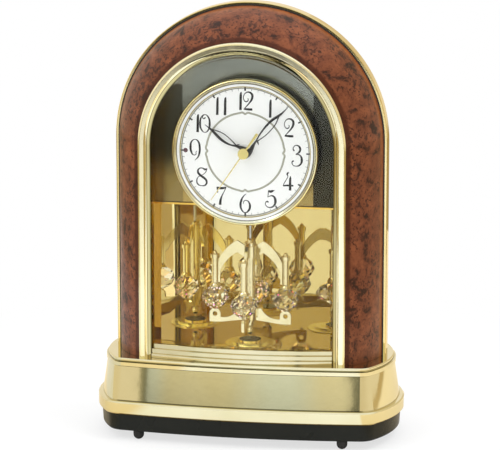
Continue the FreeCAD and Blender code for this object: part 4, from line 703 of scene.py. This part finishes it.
def pen_stroke(points, closed=False, bold=1.0):
    """One stroke of ink about the origin: points are x, z and half width in millimetres."""
    curve = bpy.data.curves.new("stroke", "CURVE")
    curve.dimensions = "3D"
    line = curve.splines.new("BEZIER")
    line.bezier_points.add(len(points) - 1)
    for point, (x, z, half) in zip(line.bezier_points, points):
        point.co = (x / 1000, 0.0, z / 1000)
        point.radius = half * bold / 1000
        point.handle_left_type = point.handle_right_type = "AUTO"
    line.use_cyclic_u = closed
    line.resolution_u = 6
    curve.bevel_depth = 1.0
    curve.bevel_resolution = 1
    curve.use_fill_caps = True
    stroke = bpy.data.objects.new("stroke", curve)
    bpy.context.collection.objects.link(stroke)
    take(stroke)
    bpy.ops.object.convert(target="MESH")
    return bpy.context.object


def moved(piece, x, y, z):
    """Moves a piece's mesh in metres, so that its object stays at the origin."""
    take(piece)
    bpy.ops.object.mode_set(mode="EDIT")
    bpy.ops.mesh.select_all(action="SELECT")
    bpy.ops.transform.translate(value=(x, y, z))
    bpy.ops.object.mode_set(mode="OBJECT")


def joined(name, pieces):
    """Several meshes made into one piece."""
    take(pieces[0])
    for piece in pieces:
        piece.select_set(True)
    if len(pieces) > 1:
        bpy.ops.object.join()
    whole = bpy.context.object
    whole.name = name
    return whole


def laid_on_dial(piece, ink, depth=INK_DEPTH):
    """Presses a print flat and sets it on the dial's face."""
    take(piece)
    thickest = max(abs(vertex.co.y) for vertex in piece.data.vertices)
    bpy.ops.object.mode_set(mode="EDIT")
    bpy.ops.mesh.select_all(action="SELECT")
    bpy.ops.transform.resize(value=(1.0, depth / thickest, 1.0), center_override=(0.0, 0.0, 0.0))
    bpy.ops.object.mode_set(mode="OBJECT")
    moved(piece, 0.0, DIAL_FACE, DIAL_HEIGHT)
    piece.data.materials.clear()
    piece.data.materials.append(ink)
    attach(piece, "case")


def ink(name, tone, second_tone):
    """Printing ink with slightly uneven cover."""
    return moulded(name, tone, second_tone, grain=1200.0, roughness=0.5, dust=0.0, strength=0.1)


# Each stroke of a digit: whether it closes, and its points about the digit's middle
DIGIT_STROKES = {
    "0": [
        (True, [(0.0, 6.3, 0.18), (2.3, 4.7, 0.40), (3.4, 0.0, 0.57), (2.3, -4.7, 0.40),
                (0.0, -6.3, 0.18), (-2.3, -4.7, 0.40), (-3.4, 0.0, 0.53), (-2.3, 4.7, 0.35)]),
        (False, [(0.0, 6.3, 0.18), (-1.4, 5.2, 0.18), (-1.4, 3.7, 0.22), (-0.3, 3.5, 0.31),
                 (0.2, 4.5, 0.26)]),
    ],
    "1": [
        (False, [(0.7, 6.5, 0.10), (0.4, 5.8, 0.50), (0.2, 3.5, 0.66), (0.1, -1.6, 0.68),
                 (0.0, -5.7, 0.68), (0.0, -6.3, 0.68)]),
    ],
    "2": [
        (False, [(-0.1, 2.3, 0.18), (0.1, 0.7, 0.26), (-1.4, -0.3, 0.31), (-2.9, 1.0, 0.22),
                 (-3.0, 3.8, 0.22), (-1.7, 5.8, 0.26), (0.5, 6.5, 0.40), (2.8, 5.0, 0.62),
                 (2.9, 2.1, 0.62), (1.1, -1.0, 0.40), (-1.2, -3.7, 0.26), (-2.8, -5.5, 0.22)]),
        (False, [(-3.1, -5.8, 0.20), (-2.2, -5.6, 0.50), (0.3, -5.7, 0.62), (2.4, -5.7, 0.62),
                 (3.1, -5.6, 0.60)]),
    ],
    "3": [
        (False, [(-1.7, 3.3, 0.40), (-2.5, 4.5, 0.31), (-2.0, 6.3, 0.22), (-0.1, 7.4, 0.26),
                 (2.2, 5.8, 0.57), (1.9, 2.8, 0.53), (-0.8, 0.9, 0.18)]),
        (False, [(-0.8, 0.9, 0.18), (2.1, 0.5, 0.35), (3.6, -2.9, 0.66), (2.4, -6.3, 0.44),
                 (-0.5, -7.4, 0.26), (-2.9, -6.3, 0.22), (-3.1, -4.2, 0.35),
                 (-2.0, -3.7, 0.40)]),
    ],
    "4": [
        (False, [(0.3, 6.3, 0.40), (-0.8, 5.2, 0.44), (-0.3, 3.5, 0.18), (-1.7, 0.6, 0.22),
                 (-3.3, -2.4, 0.22), (-3.5, -3.5, 0.31)]),
        (False, [(-3.5, -3.4, 0.35), (-0.9, -3.0, 0.48), (1.3, -3.1, 0.48), (3.6, -3.0, 0.44)]),
        (False, [(1.7, 3.8, 0.13), (1.4, 1.9, 0.57), (1.3, -2.4, 0.66), (1.3, -5.5, 0.66),
                 (1.2, -6.5, 0.70)]),
    ],
    "5": [
        (False, [(-1.5, 5.9, 0.35), (-0.1, 5.1, 0.66), (1.3, 5.5, 0.62), (3.0, 6.2, 0.13)]),
        (False, [(-1.4, 5.7, 0.22), (-1.5, 3.6, 0.22), (-1.8, 1.0, 0.18)]),
        (False, [(-1.8, 1.0, 0.13), (-0.1, 2.0, 0.26), (2.2, 1.8, 0.48), (3.6, -1.2, 0.70),
                 (2.6, -4.8, 0.48), (-0.1, -6.2, 0.31), (-2.8, -5.3, 0.22), (-3.4, -3.2, 0.26),
                 (-2.0, -2.0, 0.40), (-1.4, -2.8, 0.31)]),
    ],
    "6": [
        (False, [(0.7, 6.8, 0.13), (-1.2, 5.0, 0.31), (-2.8, 1.8, 0.57), (-3.3, -1.2, 0.62),
                 (-2.5, -4.7, 0.44), (0.0, -6.7, 0.22), (2.5, -5.0, 0.53), (3.4, -2.1, 0.62),
                 (2.7, 0.7, 0.40), (0.9, 2.1, 0.22), (-0.9, 1.4, 0.22), (-1.4, -0.3, 0.18)]),
    ],
    "7": [
        (False, [(-3.4, 6.1, 0.31), (-1.8, 5.6, 0.66), (0.9, 5.6, 0.66), (3.4, 6.3, 0.35)]),
        (False, [(-3.2, 6.0, 0.26), (-2.7, 3.8, 0.31), (-2.6, 2.1, 0.18)]),
        (False, [(3.4, 6.3, 0.22), (2.0, 3.2, 0.22), (0.3, -0.3, 0.35), (-0.6, -3.3, 0.62),
                 (-0.9, -6.4, 0.75)]),
    ],
    "8": [
        (False, [(3.8, 5.7, 0.22), (2.3, 5.0, 0.57), (0.4, 5.9, 0.31), (-2.0, 5.4, 0.35),
                 (-2.8, 3.1, 0.57), (-1.2, 0.9, 0.62), (1.4, -1.0, 0.62), (3.4, -3.5, 0.57),
                 (2.5, -6.1, 0.40), (-0.2, -6.7, 0.22), (-2.8, -5.7, 0.35), (-3.6, -3.1, 0.35),
                 (-2.5, -0.5, 0.22), (0.4, 1.1, 0.18), (2.7, 3.1, 0.22), (3.7, 5.6, 0.18)]),
    ],
    "9": [
        (False, [(1.5, -0.8, 0.13), (0.7, -1.3, 0.18), (0.7, -3.0, 0.22), (-1.1, -3.6, 0.26),
                 (-2.7, -1.3, 0.53), (-3.2, 2.3, 0.62), (-2.5, 5.8, 0.40), (0.0, 7.5, 0.18),
                 (2.3, 6.0, 0.44), (3.3, 2.3, 0.57), (3.1, -2.1, 0.53), (2.0, -5.1, 0.35),
                 (-0.2, -7.4, 0.13)]),
    ],
}
# Each number's middle from the dial's centre, and its digits' places aside from there
NUMBER_PLACES = {
    "12": (0.3, 36.0), "1": (17.7, 31.3), "2": (31.0, 18.0), "3": (36.5, -1.4),
    "4": (30.6, -19.7), "5": (17.9, -32.6), "6": (0.0, -36.5), "7": (-17.0, -31.8),
    "8": (-30.9, -18.3), "9": (-35.7, 0.4), "10": (-29.7, 19.4), "11": (-17.0, 32.0),
}
DIGIT_SPREAD = {"12": (-3.6, 1.7), "10": (-4.1, 1.1), "11": (-2.8, 2.7)}
digits = {}
for digit, strokes in DIGIT_STROKES.items():
    digits[digit] = joined("digit_" + digit, [pen_stroke(line, closed, bold=1.5)
                                              for closed, line in strokes])
numbers = []
for label, (x, z) in NUMBER_PLACES.items():
    for digit, spread in zip(label, DIGIT_SPREAD.get(label, (0.0,))):
        copy = bpy.data.objects.new("number_" + label, digits[digit].data.copy())
        bpy.context.collection.objects.link(copy)
        moved(copy, (x + spread) / 1000, 0.0, z / 1000)
        numbers.append(copy)
for digit in digits.values():
    bpy.data.objects.remove(digit)
dark_ink = ink("dark_ink", srgb(22, 24, 26), srgb(34, 36, 38))
laid_on_dial(joined("numbers", numbers), dark_ink)

ROUND_STEPS = 180
SHOULDER_SHARE, SHOULDER_ASIDE, SHOULDER_WIDTH, POINT_WIDTH = 0.45, 5.0, 2.5, 1.8


def round_line(radius, half, notch=0.0):
    """A printed circle. With a notch it draws in to a small point at each quarter, between
    two low shoulders."""
    points = []
    for step in range(ROUND_STEPS):
        angle = 2 * math.pi * step / ROUND_STEPS
        aside = math.degrees(abs((angle + math.pi / 4) % (math.pi / 2) - math.pi / 4))
        swell = SHOULDER_SHARE * math.exp(-((aside - SHOULDER_ASIDE) / SHOULDER_WIDTH) ** 2)
        dip = math.exp(-(aside / POINT_WIDTH) ** 2)
        reach = radius + notch * (swell - dip)
        points.append((reach * math.sin(angle), reach * math.cos(angle), half))
    return pen_stroke(points, closed=True)


grey_ink = ink("grey_ink", srgb(168, 168, 150), srgb(186, 186, 170))
track_ink = ink("track_ink", srgb(120, 120, 104), srgb(140, 140, 124))
mark_ink = ink("mark_ink", srgb(140, 142, 140), srgb(160, 162, 160))
laid_on_dial(joined("inner_ring", [round_line(27.7, half=0.8, notch=0.8)]), grey_ink)
laid_on_dial(joined("minute_line", [round_line(45.2, half=0.34)]), track_ink)

# Marks of the track: reach from the dial's centre and half width, in millimetres
HOUR_MARK = [(43.3, 0.60), (44.4, 0.62), (45.8, 0.62)]
MINUTE_MARK = [(43.4, 0.20), (45.0, 0.24)]


def marks_at(minutes, mark):
    """One mark of the track at each of some minutes."""
    strokes = []
    for minute in minutes:
        angle = 2 * math.pi * minute / 60
        strokes.append(pen_stroke([(reach * math.sin(angle), reach * math.cos(angle), half)
                                   for reach, half in mark]))
    return strokes


hours = range(0, 60, 5)
laid_on_dial(joined("hour_marks", marks_at(hours, HOUR_MARK)), dark_ink)
between_hours = [minute for minute in range(60) if minute not in hours]
laid_on_dial(joined("minute_marks", marks_at(between_hours, MINUTE_MARK)), mark_ink,
             FINE_INK_DEPTH)

# Post and nut
# A turned brass post comes through the dial. A thin round nut, lacquered white as the plate
# is, clamps the movement to it.
brass = plated("turned_brass", srgb(206, 176, 96), srgb(224, 198, 122),
               patch=60.0, roughness=0.16, smears=0.05)
finished("dial_nut", dial_white)
finished("centre_post", brass)

# Hands
# Two thin openwork leaves are stamped and lacquered black. The long second hand and its cap
# are pale gold.
LEAF_DEPTH, LEAF_SEAT = 0.0002, 0.0003
hand_black = moulded("hand_black", srgb(26, 26, 28), srgb(44, 44, 46),
                     grain=500.0, roughness=0.3, dust=0.1, strength=0.05)

# Each hand's angle at rest, in degrees, and its strokes, in millimetres: out along the hand,
# aside and half width
HAND_STROKES = {
    "hour": (306.5, [
        [(-1.0, 2.6, 1.0), (2.0, 2.2, 1.5), (4.6, 1.2, 1.25), (7.4, 0.3, 0.8),
         (10.5, -1.3, 0.55), (14.0, -2.3, 0.75), (18.0, -2.6, 0.95), (22.0, -2.3, 1.0),
         (25.5, -1.7, 0.95), (28.5, -1.3, 0.75), (31.0, -1.3, 0.4), (34.0, -1.3, 0.15)],
        [(7.0, 0.6, 0.5), (9.5, 1.0, 0.4), (14.5, 1.7, 0.34), (20.0, 1.7, 0.34),
         (25.0, 0.3, 0.36), (28.5, -1.1, 0.45)],
        [(7.4, 0.4, 0.75), (7.0, 1.6, 0.55), (6.2, 3.0, 0.1)],
    ]),
    "minute": (44.5, [
        [(-1.5, 3.6, 0.3), (1.0, 3.2, 1.25), (4.0, 2.2, 1.75), (7.0, 1.2, 1.4),
         (10.0, 0.4, 0.85), (13.0, -0.3, 0.5), (17.0, -1.4, 0.5), (22.0, -2.3, 0.6),
         (27.0, -2.7, 0.75), (31.5, -2.6, 0.95), (35.5, -1.8, 1.0), (38.5, -1.3, 0.75),
         (42.0, -1.2, 0.4), (46.4, -1.2, 0.14)],
        [(12.3, 0.4, 0.45), (15.5, 1.0, 0.36), (20.0, 1.7, 0.34), (25.5, 1.7, 0.34),
         (31.0, 1.0, 0.36), (36.0, -1.0, 0.5)],
        [(13.0, 0.0, 0.7), (12.6, 1.4, 0.6), (11.8, 3.2, 0.1)],
    ]),
}
for name, (angle, strokes) in HAND_STROKES.items():
    node = name + "_hand"
    sine, cosine = math.sin(math.radians(angle)), math.cos(math.radians(angle))
    limbs = []
    for stroke in strokes:
        limbs.append(pen_stroke([(out * sine + aside * cosine, out * cosine - aside * sine, half)
                                 for out, aside, half in stroke], bold=1.15))
    hand = joined(name + "_leaf", limbs)
    laid_on_dial(hand, hand_black, LEAF_DEPTH)
    moved(hand, 0.0, lowest(node).y + LEAF_SEAT - DIAL_FACE, 0.0)
    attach(hand, BODY_OF[node])
    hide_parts(node)
hand_gold = plated("hand_gold", srgb(232, 212, 132), srgb(244, 228, 160),
                   patch=60.0, roughness=0.22, smears=0.04)
finished("second_hand", hand_gold, edge=0.00012)

# Turning pendulum
# A plated column hangs from a steel rod. Two castings carry four arches above and four arms
# below, with a turned pillar on each arch's end.
SIDES = ("front", "right", "rear", "left")
pendulum_gold = glows_after_mirrors(plated("pendulum_gold", srgb(222, 208, 156), srgb(238, 228, 186),
                                 patch=40.0, roughness=0.06, smears=0.04,
                                 sockets={"Metallic": 0.85}))
for node in ("pendulum_column", "upper_arches", "lower_arms"):
    finished(node, pendulum_gold, edge=0.00035)
for side in SIDES:
    finished("pillar_" + side, pendulum_gold)
steel = plated("bright_steel", srgb(176, 176, 176), srgb(200, 200, 200),
               patch=60.0, roughness=0.2, smears=0.05)
finished("pendulum_rod", steel)
finished("rod_bushing", brass)

# Crystals
# Four cut and polished crystals sit between the arms and the pillars. Every facet is flat, and
# the glass is clear, with a faint warm and cool play of colour painted over it and a few coloured
# sparks that glow as painted glints.
LAST_PASS = 8.5
crystal, tree, shader = start_material("cut_crystal")
place = object_place(tree)
painted_play = add(tree, "TexVoronoi", {"Vector": place, "Scale": 230.0}).outputs["Color"]
painted_spark = add(tree, "TexVoronoi", {"Vector": place, "Scale": 520.0}).outputs
chosen = graded(tree, add(tree, "SeparateXYZ", {0: painted_spark["Color"]}).outputs["X"], 0.88, 0.92)
painted_glints = both(tree, chosen, graded(tree, painted_spark["Distance"], 0.45, 0.25))
faint = noise(tree, place, 300.0)
# The play of colour is painted, and the sparks glow as painted glints
feed(tree, shader, {
    "Base Color": mixed(tree, 0.14, WHITE, painted_play),
    "Roughness": graded(tree, faint, 0.5, 0.8, 0.0, 0.02),
    "Normal": relief(tree, faint, 0.01, 0.0001), "Transmission Weight": 1.0, "IOR": 1.7,
    "Emission Color": mixed(tree, painted_glints, (0.0, 0.0, 0.0, 1.0), painted_spark["Color"]),
    "Emission Strength": 1.0})
# After LAST_PASS passes the glass glows with a painted dull gold
ray = add(tree, "LightPath").outputs
clear = add(tree, "BsdfTransparent", {"Color": (0.8, 0.8, 0.8, 1.0)}).outputs[0]
glow = add(tree, "Emission", {"Color": srgb(112, 100, 74), "Strength": 1.0}).outputs[0]
ended = either(tree, calculated(tree, "GREATER_THAN", ray["Ray Depth"], LAST_PASS),
               shader.outputs[0], glow)
feed(tree, tree.nodes["Material Output"],
     {"Surface": either(tree, ray["Is Shadow Ray"], ended, clear)})
for side in SIDES:
    dressed("crystal_" + side, crystal)

# Pedestal
# A black turned cup takes the column's lower pivot, in a stepped gold ring on the mirror
# floor. A gold band runs round the cup between the ring and its rim.
RING_TOP, CUP_TOP = highest("pedestal_ring").z, highest("pedestal").z
cup_finish, tree, shader = start_material("pedestal_cup")
stain = noise(tree, object_place(tree), 200.0, 3.0)
banded = between(tree, object_axes(tree)["Z"], (RING_TOP - 0.0002, RING_TOP),
                 (CUP_TOP - 0.0002, CUP_TOP - 0.0004))
lacquer = mixed(tree, stain, srgb(22, 26, 30), srgb(34, 38, 42))
feed(tree, shader, {"Base Color": mixed(tree, banded, lacquer, srgb(244, 226, 160)),
                    "Metallic": banded, "Roughness": graded(tree, stain, 0.3, 0.7, 0.1, 0.16)})
finished("pedestal", cup_finish, edge=0.0003)
finished("pedestal_ring", bezel_gold, edge=0.0002)

# Movement and drive
# The closed works behind the dial and above the ceiling are black moulded boxes that only
# the case's inside sees.
for node in ("movement_case", "pendulum_drive"):
    dressed(node, case_black)

# Rear cover and its screws
# An arched black panel with the case's fine grain closes the back, with a slotted grille and
# six steel screws. The speaker's cone and the green board of the sound sit behind it.
finished("rear_cover", case_black)
finished("cover_screws", steel)
speaker_cone = moulded("speaker_cone", srgb(22, 22, 23), srgb(44, 43, 42),
                       grain=1400.0, roughness=0.8, dust=0.3, strength=0.5)
finished("speaker", speaker_cone)
dressed("sound_board", moulded("board_green", srgb(18, 62, 36), srgb(34, 84, 52),
                               grain=500.0, roughness=0.4))

# Controls on the back
# The knobs, the button and the switch are small satin black mouldings that come through the
# cover. The volume knob has a plain white line printed from its middle to its rim.
POINTER_HALF, POINTER_FOOT = 0.00045, 0.0014
knob_black = moulded("knob_black", srgb(24, 24, 25), srgb(48, 48, 48),
                     grain=800.0, roughness=0.35, dust=0.4, strength=0.2)
marked_black = knob_black.copy()
marked_black.name = "marked_black"
tree, shader, tone = tone_so_far(marked_black)
where = object_axes(tree)
centre = middle("volume_knob")
foot = centre.z + POINTER_FOOT
pointer = both(tree, thin_line(tree, where["X"], centre.x, POINTER_HALF, 0.0001),
               graded(tree, where["Z"], foot - 0.0001, foot + 0.0001))
feed(tree, shader, {"Base Color": mixed(tree, pointer, tone, srgb(226, 226, 222))})
finished("volume_knob", marked_black)
for node in ("set_knob", "play_button", "mode_switch"):
    finished(node, knob_black)

# Battery bay
# Four cells in a plain dark wrap lie in a moulded tray, between bright steel contacts. A
# door with the case's grain closes the bay.
cell_wrap = plated("cell_wrap", srgb(60, 60, 66), srgb(88, 86, 84),
                   patch=30.0, roughness=0.3, smears=0.1)
finished("battery_door", case_black, edge=0.0002)
dressed("battery_tray", case_black)
finished("battery_cells", cell_wrap)
dressed("battery_contacts", steel)
